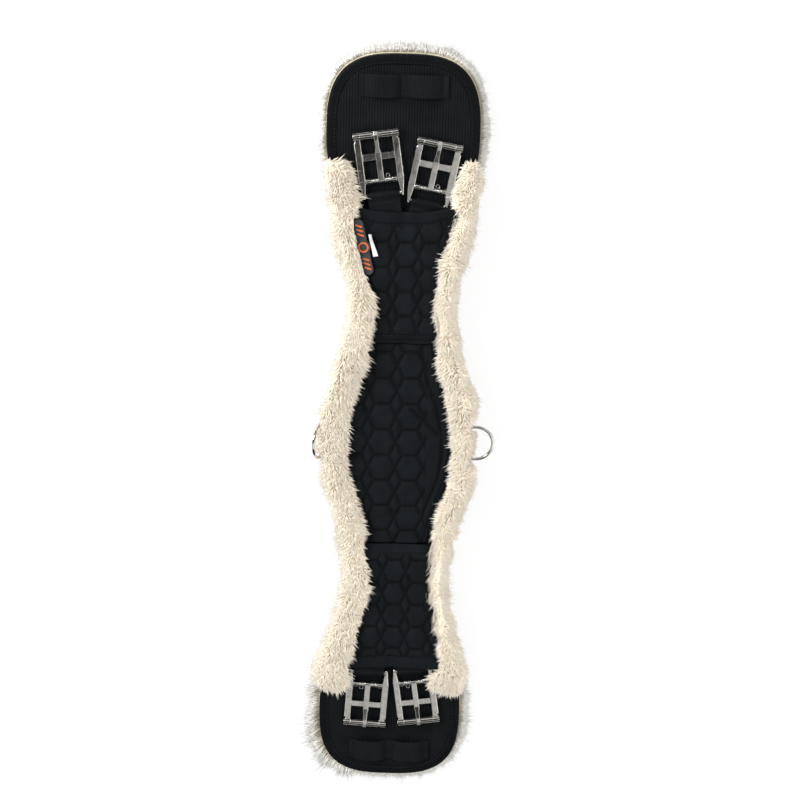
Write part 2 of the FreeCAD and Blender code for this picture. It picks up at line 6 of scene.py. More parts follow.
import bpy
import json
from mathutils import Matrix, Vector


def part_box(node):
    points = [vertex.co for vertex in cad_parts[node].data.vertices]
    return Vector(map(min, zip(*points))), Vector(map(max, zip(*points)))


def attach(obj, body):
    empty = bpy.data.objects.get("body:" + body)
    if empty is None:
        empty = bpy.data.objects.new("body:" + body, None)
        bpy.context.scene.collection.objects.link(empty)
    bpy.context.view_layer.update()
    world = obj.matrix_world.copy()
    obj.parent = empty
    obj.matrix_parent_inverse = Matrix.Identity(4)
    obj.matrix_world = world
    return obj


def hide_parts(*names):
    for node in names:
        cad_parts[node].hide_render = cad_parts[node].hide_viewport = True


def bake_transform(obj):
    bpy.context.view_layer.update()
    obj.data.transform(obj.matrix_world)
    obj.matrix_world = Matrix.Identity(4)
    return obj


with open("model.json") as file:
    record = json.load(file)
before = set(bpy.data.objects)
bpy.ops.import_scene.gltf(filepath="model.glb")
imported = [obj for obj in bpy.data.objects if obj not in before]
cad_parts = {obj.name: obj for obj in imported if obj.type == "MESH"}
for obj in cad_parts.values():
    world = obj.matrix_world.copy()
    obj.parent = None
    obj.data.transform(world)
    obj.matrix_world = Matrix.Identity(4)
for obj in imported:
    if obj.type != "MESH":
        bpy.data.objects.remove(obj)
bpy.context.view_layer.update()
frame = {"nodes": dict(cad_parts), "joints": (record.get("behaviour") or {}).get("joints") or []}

import json

import bmesh
import bpy
import numpy as np
from bpy.props import FloatProperty, FloatVectorProperty, IntProperty, PointerProperty
from mathutils import Matrix

bl_info = {
    "name": "Saddle girth",
    "version": (1, 0, 0),
    "blender": (4, 5, 0),
    "location": "3D View > Sidebar > Girth",
    "description": "Builds the soft pieces and finishes of a fur-lined saddle girth",
    "category": "Add Mesh",
}

MM = 0.001
SPINE_END = 0.27  # where a flat layer's middle line stops
SIMULATED_FRAMES = 20
ENDS = {"near": 1, "off": -1}
SIDES = {"front": -1, "rear": 1}
BUCKLES = ("near_front", "near_rear", "off_front", "off_rear")
JOINTS = {j["name"]: j for j in frame["joints"]}


def corners(node):
    """Lowest and highest corner of a frame node, as arrays."""
    return tuple(np.array(corner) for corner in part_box(node))


PANEL_LOW, PANEL_HIGH = corners("base_panel")
HALF_LENGTH, TOP_Z = float(PANEL_HIGH[1]), float(PANEL_HIGH[2])
BELLY_LOW, BELLY_HIGH = corners("belly_panel")
WEBBING_Z = float(corners("near_end_webbing")[1][2])
SLEEVE = {end: corners(f"{end}_sleeve") for end in ENDS}
SLEEVE_Z = float(SLEEVE["near"][1][2])
WING_END = float(corners("fur_wing_rear")[1][1])
RING_AT = np.array(JOINTS["rear_ring_swing"]["pos_m"])


# --- what a user may change -----------------------------------------------------------------------
def number(name, description, default, **more):
    """A plain number property."""
    return FloatProperty(name=name, description=description, default=default, **more)


def whole(name, description, default):
    """A whole number property."""
    return IntProperty(name=name, description=description, default=default)


def length(name, description, default):
    """A length property."""
    return number(name, description, default, unit="LENGTH", precision=4)


def colour(name, description, default):
    """A colour property, in linear values."""
    return FloatVectorProperty(
        name=name, description=description, default=default, subtype="COLOR", size=3, min=0.0, max=1.0)


class GirthShape(bpy.types.PropertyGroup):
    """Outline of the padded body."""
    belly_half: length("Belly half width", "Half the width at the middle", float(BELLY_HIGH[0]) + 8 * MM)
    waist_half: length("Waist half width", "Half the body's width at its waists", 36.5 * MM)
    plate_half: length("Plate half width", "Half an end plate's width", float(PANEL_HIGH[0]))
    plate_depth: length("Plate depth", "From an end plate's widest place to its end", 67 * MM)
    waist_at: length("Waist place", "From the middle to each waist", 125 * MM)
    roundness: number("Plate roundness", "2 is an ellipse, more is squarer", 3.0)
    belly_inset: length("Belly inset", "From the body's edge to the belly panel", 8 * MM)
    sleeve_inset: length("Sleeve inset", "From the body's edge to a sleeve", 4.5 * MM)
    binding_width: length("Binding width", "Edge tape seen from above", 7.4 * MM)


class GirthQuilting(bpy.types.PropertyGroup):
    """Hexagon quilting and cloth colours."""
    belly_pitch: length("Belly pitch", "Distance between belly hexagons", 24 * MM)
    sleeve_pitch: length("Sleeve pitch", "Distance between sleeve hexagons", 22 * MM)
    groove: length("Seam depth", "How deep a quilted seam lies", 1.7 * MM)
    groove_width: length("Seam width", "Half width of a quilted seam", 1.8 * MM)
    step: length("Surface step", "Distance between surface points", 1.0 * MM)
    cloth: colour("Quilt cloth", "Colour of the quilted cloth", (0.0054, 0.0070, 0.0088))
    # The seam colour is painted shade, laid into the quilted grooves.
    seam: colour("Seam", "Colour in the seams", (0.0024, 0.0032, 0.0041))
    thread: colour("Thread", "Colour of the stitching", (0.016, 0.017, 0.019))


class GirthWebbing(bpy.types.PropertyGroup):
    """Webbing, binding and straps."""
    rib_pitch: length("Rib pitch", "Distance between webbing ribs", 2.4 * MM)
    rib_height: length("Rib height", "How far a rib stands up", 0.8 * MM)
    stitch_pitch: length("Stitch pitch", "Distance between stitches", 3.4 * MM)
    plate: colour("Plate webbing", "Colour of the end plates", (0.0052, 0.0065, 0.0076))
    keeper: colour("Keeper webbing", "Colour of the keeper strips", (0.0058, 0.0068, 0.0082))
    binding: colour("Binding", "Colour of the edge tape", (0.0030, 0.0034, 0.0042))
    strap: colour("Straps", "Colour of the webbing loops", (0.0048, 0.0056, 0.0070))


class GirthFur(bpy.types.PropertyGroup):
    """Fur liner and its rolled edges."""
    wing_locks: whole("Wing locks", "Locks on each third of a rolled edge", 10800)
    under_locks: whole("Liner locks", "Locks on each third of the liner", 5200)
    fringe_locks: whole("Fringe locks", "Locks round each half's edge", 12000)
    wing_length: length("Wing lock length", "Length of a lock on the rolled fur", 6.4 * MM)
    under_length: length("Liner lock length", "Length of a lock under the girth", 8.0 * MM)
    fringe_length: length("Fringe length", "Length of the short fur round the edge", 7.0 * MM)
    lock_radius: length("Lock radius", "Thickness of a lock at its root", 0.64 * MM)
    seed: whole("Seed", "Pattern of the locks", 7)
    tip: colour("Tips", "Colour of the tips", (0.965, 0.885, 0.75))
    # The root colour is painted shade: darker and warmer deep in the pile.
    root: colour("Roots", "Colour near the hide", (0.95, 0.835, 0.66))
    pale_tip: colour("Edge tips", "Colour of the short fur at the plates", (0.86, 0.845, 0.80))
    # The edge roots' colour is painted shade: darker and warmer deep in the short fur.
    pale_root_shade: colour("Edge roots", "Colour of the short fur near the hide", (0.74, 0.68, 0.55))
    hide: colour("Hide", "Colour of the fur's backing", (0.64, 0.58, 0.40))


class GirthMetal(bpy.types.PropertyGroup):
    """Buckles and rings."""
    nickel: colour("Nickel", "Colour of the buckles and rings", (0.72, 0.70, 0.66))
    spring: colour("Spring steel", "Colour of the springs", (0.50, 0.49, 0.47))


class GirthBadge(bpy.types.PropertyGroup):
    """Badge and care label."""
    turn: number("Turn", "Badge's turn on the sleeve", 0.2339, subtype="ANGLE")
    long: length("Length", "Badge length", 50 * MM)
    wide: length("Width", "Badge width", 9 * MM)
    rubber: colour("Rubber", "Badge colour", (0.035, 0.038, 0.045))
    mark: colour("Raised shapes", "Colour of the badge's plain raised shapes", (0.60, 0.125, 0.025))
    label: colour("Label", "Care label colour", (0.62, 0.62, 0.61))


class GirthStage(bpy.types.PropertyGroup):
    """Floor, light and camera."""
    key: number("Key light", "Power of the main light", 24.0)
    fill: number("Fill light", "Power of the second light", 6.0)
    ambient: number("Ambient", "Light from all round", 1.0)
    gloss: number("Gloss surroundings", "Brightness that metal reflects", 0.11)
    distance: length("Camera distance", "Camera to the girth's middle", 1.713)
    lens: number("Lens", "Focal length in millimetres", 86.8)
    tilt: number("Tilt", "Camera's lean from straight above", 0.31416, subtype="ANGLE")
    roll: number("Roll", "Camera's turn about its view", 0.02496, subtype="ANGLE")


GROUPS = {
    "girth_shape": GirthShape, "girth_quilting": GirthQuilting, "girth_webbing": GirthWebbing,
    "girth_fur": GirthFur, "girth_metal": GirthMetal, "girth_badge": GirthBadge, "girth_stage": GirthStage,
}


# --- curves and surfaces --------------------------------------------------------------------------
def unit(v):
    """Vectors divided by their length."""
    return v / np.maximum(np.linalg.norm(v, axis=-1, keepdims=True), 1e-12)


def smoothstep(t):
    """3t^2 - 2t^3 between 0 and 1."""
    t = np.clip(t, 0, 1)
    return t * t * (3 - 2 * t)


def quarter_round(t):
    """A quarter circle between 0 and 1: the root of 1 - (1 - t)^2."""
    return np.sqrt(1 - (1 - np.clip(t, 0, 1)) ** 2)


def even(points, count, closed=False):
    """The same polyline with its points at equal distances along it."""
    line = np.vstack([points, points[:1]]) if closed else points
    run = np.append(0, np.cumsum(np.linalg.norm(np.diff(line, axis=0), axis=1)))
    at = np.linspace(0, run[-1], count, endpoint=not closed)
    return np.stack([np.interp(at, run, line[:, k]) for k in range(line.shape[1])], 1)


def rounded(points, steps, closed=True):
    """Catmull-Rom curve: a cubic through each pair of points that leaves along the line of their neighbours.
    Works along the second axis of an array of control points (rows, points, values)."""
    if closed:
        before, here, after, beyond = (np.roll(points, k, 1) for k in (1, 0, -1, -2))
    else:
        held = np.concatenate([points[:, :1], points, points[:, -1:]], 1)
        before, here, after, beyond = held[:, :-3], held[:, 1:-2], held[:, 2:-1], held[:, 3:]
    t = np.linspace(0, 1, steps, endpoint=False)[:, None]
    a, b, c, d = (p[:, :, None] for p in (before, here, after, beyond))
    curve = (2 * b + (c - a) * t + (2 * a - 5 * b + 4 * c - d) * t**2 + (3 * b - a - 3 * c + d) * t**3) / 2
    curve = curve.reshape(points.shape[0], -1, points.shape[2])
    return curve if closed else np.concatenate([curve, points[:, -1:]], 1)


def half_width(y):
    """Half the body's width at y: half a cosine wave from belly to waist, another out to the plate,
    then the rounded square |x/a|^n + |y/b|^n = 1."""
    s = bpy.context.scene.girth_shape
    y, plate_at = np.abs(y), HALF_LENGTH - s.plate_depth
    belly = s.waist_half + (s.belly_half - s.waist_half) * (1 + np.cos(np.pi * y / s.waist_at)) / 2
    share = np.clip((y - s.waist_at) / (plate_at - s.waist_at), 0, 1)
    flare = s.waist_half + (s.plate_half - s.waist_half) * (1 - np.cos(np.pi * share)) / 2
    share = np.clip((y - plate_at) / s.plate_depth, 0, 1)
    plate = s.plate_half * (1 - share**s.roundness) ** (1 / s.roundness)
    return np.where(y <= s.waist_at, belly, np.where(y <= plate_at, flare, plate))


def half_outline(start=0.0):
    """The outline round the near end, from the rear edge at y = start to the front edge at the same y."""
    s = bpy.context.scene.girth_shape
    plate_at = HALF_LENGTH - s.plate_depth
    y = np.linspace(start, plate_at, 300, endpoint=False)
    turn = np.linspace(0, np.pi / 2, 200)
    x = np.append(half_width(y), s.plate_half * np.cos(turn) ** (2 / s.roundness))
    y = np.append(y, plate_at + s.plate_depth * np.sin(turn) ** (2 / s.roundness))
    quarter = np.stack([x, y], 1)
    return np.vstack([quarter, (quarter * (-1, 1))[-2::-1]])


def outward(path, closed):
    """Directions square to a path that runs anticlockwise, pointing out."""
    along = np.roll(path, -1, 0) - np.roll(path, 1, 0) if closed else np.gradient(path, axis=0)
    return unit(np.stack([along[:, 1], -along[:, 0]], 1))


def whole_outline(count):
    """The whole outline as evenly spaced points and outward directions."""
    half = half_outline()
    path = even(np.vstack([half[:-1], -half[:-1]]), count, closed=True)
    return path, outward(path, True)


def swept(path, out, profile):
    """A profile of (outward distance, height) carried along a flat path: point + distance * outward."""
    flat = path[:, None] + profile[..., :1] * out[:, None]
    return np.dstack([flat, np.broadcast_to(profile[..., 1], flat.shape[:2])])


def grid_faces(rows, columns, wrap=(False, False)):
    """Quads between neighbouring points of a grid, closed along the wrapped directions."""
    open_ends = np.logical_not(wrap)
    i, j = np.meshgrid(np.arange(rows - open_ends[0]), np.arange(columns - open_ends[1]), indexing="ij")
    k, m = (i + 1) % rows, (j + 1) % columns
    return np.stack([i * columns + j, k * columns + j, k * columns + m, i * columns + m], -1).reshape(-1, 4)


def piece(name, points, faces, uv=None, marks=(), weld=0.0):
    """An object at the origin from points and arrays of faces, with a (u, v) and named values at each point.
    With a weld distance, points that meet are joined and the faces turned outwards."""
    mesh = bpy.data.meshes.new(name)
    mesh.vertices.add(len(points))
    mesh.vertices.foreach_set("co", points.astype(np.float32).ravel())
    corner = np.concatenate([f.ravel() for f in faces]).astype(np.int32)
    sizes = np.concatenate([np.full(len(f), f.shape[1]) for f in faces])
    mesh.loops.add(len(corner))
    mesh.loops.foreach_set("vertex_index", corner)
    mesh.polygons.add(len(sizes))
    mesh.polygons.foreach_set("loop_start", (np.cumsum(sizes) - sizes).astype(np.int32))
    mesh.update(calc_edges=True)
    if uv is not None:
        layer = mesh.uv_layers.new(name="UVMap")
        layer.uv.foreach_set("vector", uv[corner].astype(np.float32).ravel())
    for mark, values in dict(marks).items():
        data = mesh.attributes.new(mark, "FLOAT", "POINT").data
        data.foreach_set("value", values.astype(np.float32).ravel())
    if weld:
        bm = bmesh.new()
        bm.from_mesh(mesh)
        bmesh.ops.remove_doubles(bm, verts=bm.verts, dist=weld)
        bmesh.ops.recalc_face_normals(bm, faces=bm.faces)
        if bm.calc_volume(signed=True) < 0:
            bmesh.ops.reverse_faces(bm, faces=bm.faces)
        bm.to_mesh(mesh)
        bm.free()
    mesh.polygons.foreach_set("use_smooth", np.ones(len(mesh.polygons), bool))
    obj = bpy.data.objects.new(name, mesh)
    bpy.context.scene.collection.objects.link(obj)
    return obj


def tube(name, points, closed_ends=True, **extras):
    """A closed profile (second axis) carried along a path (first axis), with flat ends."""
    rows, columns = points.shape[:2]
    faces = [grid_faces(rows, columns, (False, True))]
    if closed_ends:
        ring = np.arange(columns)
        faces.append(np.stack([ring, ring[::-1] + (rows - 1) * columns]))
    return piece(name, points.reshape(-1, 3), faces, weld=0.01 * MM, **extras)


def envelope(name, top, bottom, **extras):
    """A pad between two grids that meet all round their edge."""
    rows, columns = top.shape[:2]
    under = grid_faces(rows, columns)[:, ::-1] + rows * columns
    points = np.concatenate([top.reshape(-1, 3), bottom.reshape(-1, 3)])
    return piece(name, points, [grid_faces(rows, columns), under], weld=0.01 * MM, **extras)


def disc(name, margin, low, high, soft, count=480, fill=5, **extras):
    """A pad of the body's outline: a rounded edge of radius soft, filled in to a line down the middle."""
    path, out = whole_outline(count)
    turn = np.linspace(np.pi / 2, -np.pi / 2, 9)
    height = (low + high) / 2 + (high - low) / 2 * np.sin(turn)
    rim = swept(path, out, np.stack([margin - soft + soft * np.cos(turn), height], 1))
    spine = np.stack([0 * path[:, 0], np.clip(path[:, 1], -SPINE_END, SPINE_END)], 1)
    share = np.linspace(0, 1, fill, endpoint=False)[None, :, None]
    faces = []
    for row in (0, -1):
        inner = np.dstack([spine[:, None], np.full((count, 1, 1), rim[0, row, 2])])
        faces.append(inner + (rim[:, row][:, None] - inner) * share)
    points = np.concatenate([faces[0], rim, faces[1][:, ::-1]], 1)
    return piece(name, points.reshape(-1, 3), [grid_faces(count, points.shape[1], (True, False))],
                 weld=0.01 * MM, **extras)


def rods(name, lines, radii, sides, rng, **extras):
    """Tapered rods along many lines at once: each line's points get a ring of corners square to it.
    The uv is a random number for each rod and the share of the way along it."""
    n, k = radii.shape
    along = unit(np.gradient(lines, axis=1))
    across = unit(np.cross(along, unit(rng.normal(size=(n, 1, 3)))))
    over = np.cross(along, across)
    turn = (2 * np.pi * np.arange(sides) / sides)[:, None]
    ring = across[:, :, None] * np.cos(turn) + over[:, :, None] * np.sin(turn)
    points = lines[:, :, None] + radii[:, :, None, None] * ring
    index = np.arange(n * k * sides).reshape(n, k, sides)
    here, there = index[:, :-1], index[:, 1:]
    sheath = np.stack([here, np.roll(here, -1, 2), np.roll(there, -1, 2), there], -1).reshape(-1, 4)
    caps = np.concatenate([index[:, 0, ::-1], index[:, -1]])
    uv = np.stack(np.broadcast_arrays(rng.uniform(size=(n, 1, 1)), np.linspace(0, 1, k)[:, None]), -1)
    uv = np.broadcast_to(uv, (n, k, 1, 2)).repeat(sides, 2)
    return piece(name, points.reshape(-1, 3), [sheath, caps], uv=uv.reshape(-1, 2), **extras)


def tufts(name, lines, radii, rng):
    """Pointed rods along many three-point lines at once: rings of three corners at the root and the middle,
    and one point at the tip. The uv is a random number for each and the share of the way along it."""
    n = len(lines)
    along = unit(lines[:, 2] - lines[:, 0])[:, None]
    across = unit(np.cross(along, unit(rng.normal(size=(n, 1, 3)))))
    over = np.cross(along, across)
    turn = (2 * np.pi * np.arange(3) / 3)[:, None]
    ring = (across * np.cos(turn) + over * np.sin(turn))[:, None]
    rings = lines[:, :2, None] + radii[:, :, None, None] * ring
    points = np.concatenate([rings.reshape(n, 6, 3), lines[:, 2:]], 1)
    first = 7 * np.arange(n)[:, None, None]
    side = np.array([[0, 1, 4, 3], [1, 2, 5, 4], [2, 0, 3, 5]])
    ends = np.array([[3, 4, 6], [4, 5, 6], [5, 3, 6], [2, 1, 0]])
    along_uv = np.array([0, 0, 0, 0.5, 0.5, 0.5, 1.0])
    uv = np.stack(np.broadcast_arrays(rng.uniform(size=(n, 1)), along_uv), -1).reshape(-1, 2)
    faces = [(first + side).reshape(-1, 4), (first + ends).reshape(-1, 3)]
    return piece(name, points.reshape(-1, 3), faces, uv=uv)


def stitches(name, paths, pitch, thickness, rng):
    """Sewing thread along paths: short spindles, thick in the middle, that dip in at both ends."""
    share = np.linspace(-1, 1, 5)
    lines = []
    for path in paths:
        count = max(2, int(np.linalg.norm(np.diff(path, axis=0), axis=1).sum() / pitch))
        knots = even(path, count + 1)
        middle, reach = (knots[1:] + knots[:-1]) / 2, (knots[1:] - knots[:-1]) * 0.36
        line = middle[:, None] + reach[:, None] * share[:, None]
        line[:, :, 2] -= thickness * 0.9 * share**4
        lines.append(line)
    lines = np.concatenate(lines)
    radii = np.broadcast_to(thickness * np.sqrt(1.02 - share**2), lines.shape[:2])
    return rods(name, lines, radii, 5, rng)


def finish(obj, material, body="girth", slot=None, replaces=()):
    """Give a piece its material and body, and hide the frame nodes that it stands for; the slot is not used.
    """
    obj.data.materials.append(material)
    if body:
        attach(obj, body)
    if replaces:
        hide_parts(*replaces)
    return obj


# --- node groups and materials --------------------------------------------------------------------
def shader_group(name, inputs, outputs):
    """An empty node group with named inputs and outputs: returns the tree, its input and output nodes."""
    tree = bpy.data.node_groups.new(name, "ShaderNodeTree")
    for label, kind, default in inputs:
        socket = tree.interface.new_socket(label, in_out="INPUT", socket_type=kind)
        if default is not None:
            socket.default_value = default
    for label, kind in outputs:
        tree.interface.new_socket(label, in_out="OUTPUT", socket_type=kind)
    return tree, tree.nodes.new("NodeGroupInput"), tree.nodes.new("NodeGroupOutput")


def node(tree, kind, links=(), **settings):
    """A node with its settings, and its inputs linked or set by socket name or number."""
    made = tree.nodes.new(kind)
    for key, value in settings.items():
        setattr(made, key, value)
    for key, value in dict(links).items():
        if isinstance(value, bpy.types.NodeSocket):
            tree.links.new(value, made.inputs[key])
        else:
            made.inputs[key].default_value = value
    return made


def math_node(tree, operation, *values):
    """A Math node's output for one or two values or sockets."""
    return node(tree, "ShaderNodeMath", dict(enumerate(values)), operation=operation).outputs[0]


def build_groups():
    """The shared effects: mottled colour, woven height, pile colour with painted shade at the roots, and fine
    wear.
    """
    groups = {}
    vector, value, colour4 = "NodeSocketVector", "NodeSocketFloat", "NodeSocketColor"

    tree, given, out = shader_group(
        "girth_mottle",
        [("Vector", vector, None), ("Color", colour4, None), ("Scale", value, 60.0), ("Amount", value, 0.3)],
        [("Color", colour4), ("Mask", value)])
    broad = node(tree, "ShaderNodeTexNoise", {
        "Vector": given.outputs[0], "Scale": given.outputs[2], "Detail": 5.0})
    low = math_node(tree, "SUBTRACT", 1.0, given.outputs[3])
    high = math_node(tree, "ADD", 1.0, given.outputs[3])
    level = node(tree, "ShaderNodeMapRange", {
        "Value": broad.outputs[0], "From Min": 0.3, "From Max": 0.7, "To Min": low, "To Max": high})
    scaled = node(tree, "ShaderNodeVectorMath", {0: given.outputs[1], "Scale": level.outputs[0]},
                  operation="SCALE")
    tree.links.new(scaled.outputs[0], out.inputs[0])
    tree.links.new(broad.outputs[0], out.inputs[1])
    groups["mottle"] = tree

    tree, given, out = shader_group(
        "girth_weave",
        [("Vector", vector, None), ("Across", value, 900.0), ("Along", value, 900.0), ("Fuzz", value, 0.3)],
        [("Height", value)])
    parts = node(tree, "ShaderNodeSeparateXYZ", {0: given.outputs[0]})
    x = math_node(tree, "MULTIPLY", parts.outputs[0], given.outputs[1])
    y = math_node(tree, "MULTIPLY", parts.outputs[1], given.outputs[2])
    wave = math_node(tree, "MULTIPLY", math_node(tree, "SINE", x), math_node(tree, "SINE", y))
    fuzz = node(tree, "ShaderNodeTexNoise", {"Vector": given.outputs[0], "Scale": 1400.0, "Detail": 3.0})
    fuzz = math_node(tree, "MULTIPLY", fuzz.outputs[0], given.outputs[3])
    tree.links.new(math_node(tree, "ADD", wave, fuzz), out.inputs[0])
    groups["weave"] = tree

    # Pile colour: the root colour, painted shade, gives way to the tip colour along each lock.
    tree, given, out = shader_group(
        "girth_pile_root_shade",
        [("Shaded Root", colour4, None), ("Tip", colour4, None), ("Along", value, 1.0), ("Random", value, 0.5),
         ("Vector", vector, None)],
        [("Color", colour4)])
    climb = node(tree, "ShaderNodeMapRange", {"Value": given.outputs[2], "From Max": 0.75},
                 interpolation_type="SMOOTHSTEP")
    mixed = node(tree, "ShaderNodeMix", {0: climb.outputs[0], 6: given.outputs[0], 7: given.outputs[1]},
                 data_type="RGBA")
    clump = node(tree, "ShaderNodeTexNoise", {"Vector": given.outputs[4], "Scale": 55.0, "Detail": 3.0})
    own = math_node(tree, "MULTIPLY", given.outputs[3], 0.09)
    shade = math_node(tree, "ADD", math_node(tree, "MULTIPLY", clump.outputs[0], 0.22), own)
    level = math_node(tree, "ADD", shade, 0.845)
    scaled = node(tree, "ShaderNodeVectorMath", {0: mixed.outputs[2], "Scale": level}, operation="SCALE")
    tree.links.new(scaled.outputs[0], out.inputs[0])
    groups["pile"] = tree

    tree, given, out = shader_group(
        "girth_wear",
        [("Vector", vector, None), ("Polished", value, 0.12), ("Dull", value, 0.35)],
        [("Roughness", value), ("Height", value)])
    haze = node(tree, "ShaderNodeTexNoise", {"Vector": given.outputs[0], "Scale": 130.0, "Detail": 6.0})
    stretch = node(tree, "ShaderNodeMapping", {0: given.outputs[0], 3: (1.0, 0.3, 1.0)})
    scratch = node(tree, "ShaderNodeTexNoise", {"Vector": stretch.outputs[0], "Scale": 1500.0, "Detail": 4.0})
    both = math_node(tree, "MULTIPLY", haze.outputs[0], scratch.outputs[0])
    rough = node(tree, "ShaderNodeMapRange", {
        "Value": both, "From Min": 0.12, "From Max": 0.42,
        "To Min": given.outputs[1], "To Max": given.outputs[2]})
    tree.links.new(rough.outputs[0], out.inputs[0])
    slow = node(tree, "ShaderNodeTexNoise", {"Vector": given.outputs[0], "Scale": 70.0, "Detail": 1.0})
    wave = math_node(tree, "MULTIPLY", slow.outputs[0], 12.0)
    tree.links.new(math_node(tree, "ADD", both, wave), out.inputs[1])
    groups["wear"] = tree
    return groups


def material(name, **constants):
    """A material with its constants on the shader itself: returns it, its tree, shader and object place."""
    made = bpy.data.materials.new(name)
    made.use_nodes = True
    tree = made.node_tree
    shader = tree.nodes["Principled BSDF"]
    for key, value in constants.items():
        shader.inputs[key.replace("_", " ").title().replace("Ior", "IOR")].default_value = value
    place = tree.nodes.new("ShaderNodeTexCoord").outputs["Object"]
    return made, tree, shader, place


def use_group(tree, group, links):
    """A placed node group."""
    return node(tree, "ShaderNodeGroup", links, node_tree=group)


def mottled(tree, groups, place, tint, scale, amount):
    """A tint mottled over the piece, as a socket."""
    links = {"Vector": place, "Color": (*tint, 1), "Scale": scale, "Amount": amount}
    return use_group(tree, groups["mottle"], links).outputs[0]


def bump(tree, shader, height, strength, distance, under=None):
    """Feed a height into the shader's normal, over another normal where one is given."""
    made = node(tree, "ShaderNodeBump", {"Height": height, "Strength": strength, "Distance": distance})
    if under:
        tree.links.new(under, made.inputs["Normal"])
    tree.links.new(made.outputs[0], shader.inputs["Normal"])


def cloth_material(name, groups, tint, across, along, depth, seam=None, rough=0.8):
    """Woven cloth: mottled colour, over-and-under weave, and painted shade that darkens the seams where the
    piece marks them.
    """
    made, tree, shader, place = material(name, roughness=rough, specular_ior_level=0.1)
    shown = mottled(tree, groups, place, tint, 75.0, 0.22)
    if seam:
        # Painted shade: the cloth turns towards the seam colour along the marked grooves.
        mark = node(tree, "ShaderNodeAttribute", attribute_name="seam").outputs["Fac"]
        shown = node(tree, "ShaderNodeMix", {0: mark, 6: shown, 7: (*seam, 1)}, data_type="RGBA").outputs[2]
    tree.links.new(shown, shader.inputs["Base Color"])
    weave = use_group(tree, groups["weave"], {"Vector": place, "Across": across, "Along": along, "Fuzz": 0.8})
    bump(tree, shader, weave.outputs[0], 0.5, depth)
    return made


def fur_material(name, groups, tip, root):
    """Pile: warm and darker at the root as painted shade, pale at the tip, each lock and clump a little
    different.
    """
    made, tree, shader, place = material(name, roughness=0.85, sheen_weight=0.35, sheen_roughness=0.4,
                                         specular_ior_level=0.2)
    uv = node(tree, "ShaderNodeUVMap", uv_map="UVMap").outputs[0]
    parts = node(tree, "ShaderNodeSeparateXYZ", {0: uv})
    pile = use_group(tree, groups["pile"], {
        "Shaded Root": (*root, 1), "Tip": (*tip, 1), "Along": parts.outputs[1], "Random": parts.outputs[0],
        "Vector": place})
    tree.links.new(pile.outputs[0], shader.inputs["Base Color"])
    fine = node(tree, "ShaderNodeTexNoise", {"Vector": place, "Scale": 900.0, "Detail": 4.0})
    bump(tree, shader, fine.outputs[0], 0.4, 0.4 * MM)
    return made


def metal_material(name, groups, tint, polished, dull):
    """Polished metal with haze and fine scratches."""
    made, tree, shader, place = material(name, metallic=1.0, specular_ior_level=0.5)
    tree.links.new(mottled(tree, groups, place, tint, 220.0, 0.1), shader.inputs["Base Color"])
    wear = use_group(tree, groups["wear"], {"Vector": place, "Polished": polished, "Dull": dull})
    tree.links.new(wear.outputs[0], shader.inputs["Roughness"])
    edges = node(tree, "ShaderNodeBevel", {"Radius": 0.6 * MM}, samples=6)
    bump(tree, shader, wear.outputs[1], 1.0, 0.005 * MM, under=edges.outputs[0])
    return made


def build_materials():
    """Every finish of the girth, by name."""
    s = bpy.context.scene
    q, w, f, m, b = s.girth_quilting, s.girth_webbing, s.girth_fur, s.girth_metal, s.girth_badge
    g = build_groups()
    made = {
        "quilting": cloth_material("girth quilting", g, q.cloth, 5200.0, 5200.0, 0.10 * MM,
                                   seam=q.seam, rough=0.72),
        "body_cloth": cloth_material("girth body cloth", g, q.cloth, 5200.0, 5200.0, 0.08 * MM),
        "thread": cloth_material("girth thread", g, q.thread, 9000.0, 9000.0, 0.05 * MM, rough=0.6),
        "webbing": cloth_material("girth plate webbing", g, w.plate, 2618.0, 7000.0, 0.20 * MM, rough=0.66),
        "keeper": cloth_material("girth keeper webbing", g, w.keeper, 2618.0, 7000.0, 0.30 * MM, rough=0.6),
        "binding": cloth_material("girth binding", g, w.binding, 8000.0, 8000.0, 0.05 * MM, rough=0.55),
        "strap": cloth_material("girth strap webbing", g, w.strap, 4200.0, 8000.0, 0.10 * MM, rough=0.62),
        "elastic": cloth_material("girth elastic", g, w.strap, 4200.0, 3000.0, 0.12 * MM, rough=0.7),
        "hook_tape": cloth_material("girth hook tape", g, w.strap, 6000.0, 6000.0, 0.25 * MM, rough=0.9),
        "hide": cloth_material("girth hide", g, f.hide, 1500.0, 1500.0, 0.05 * MM, rough=0.85),
        "label": cloth_material("girth care label", g, b.label, 7000.0, 7000.0, 0.04 * MM, rough=0.6),
        "fur": fur_material("girth fur", g, f.tip, f.root),
        "pale_fur": fur_material("girth short fur", g, f.pale_tip, f.pale_root_shade),
        "nickel": metal_material("girth nickel", g, m.nickel, 0.045, 0.11),
        "spring": metal_material("girth spring steel", g, m.spring, 0.2, 0.42),
    }
    for name, tint in (("rubber", b.rubber), ("mark", b.mark)):
        mat, tree, shader, place = material(f"girth badge {name}", roughness=0.5, coat_weight=0.1)
        tree.links.new(mottled(tree, g, place, tint, 400.0, 0.12), shader.inputs["Base Color"])
        grain = node(tree, "ShaderNodeTexNoise", {"Vector": place, "Scale": 2500.0, "Detail": 2.0})
        bump(tree, shader, grain.outputs[0], 0.3, 0.05 * MM)
        made[name] = mat
    return made


MATERIALS = {}


# --- quilting -------------------------------------------------------------------------------------
def hexagon_distance(x, y, across, along):
    """Distance to the nearest seam of flat-topped hexagons in straight rows and columns.
    Folded into one cell, the slanted side runs from half the flat top's end to the middle of the side;
    inside it the flat top is a seam too, and outside it lies the rhomb between four hexagons."""
    a = np.abs(x - across * np.round(x / across))
    b = np.abs(y - along * np.round(y / along))
    flat = across * 0.27
    run, rise = across / 2 - flat, along / 2
    slant = ((a - flat) * rise + (b - rise) * run) / np.hypot(run, rise)
    return np.where(slant < 0, np.minimum(-slant, rise - b), slant)


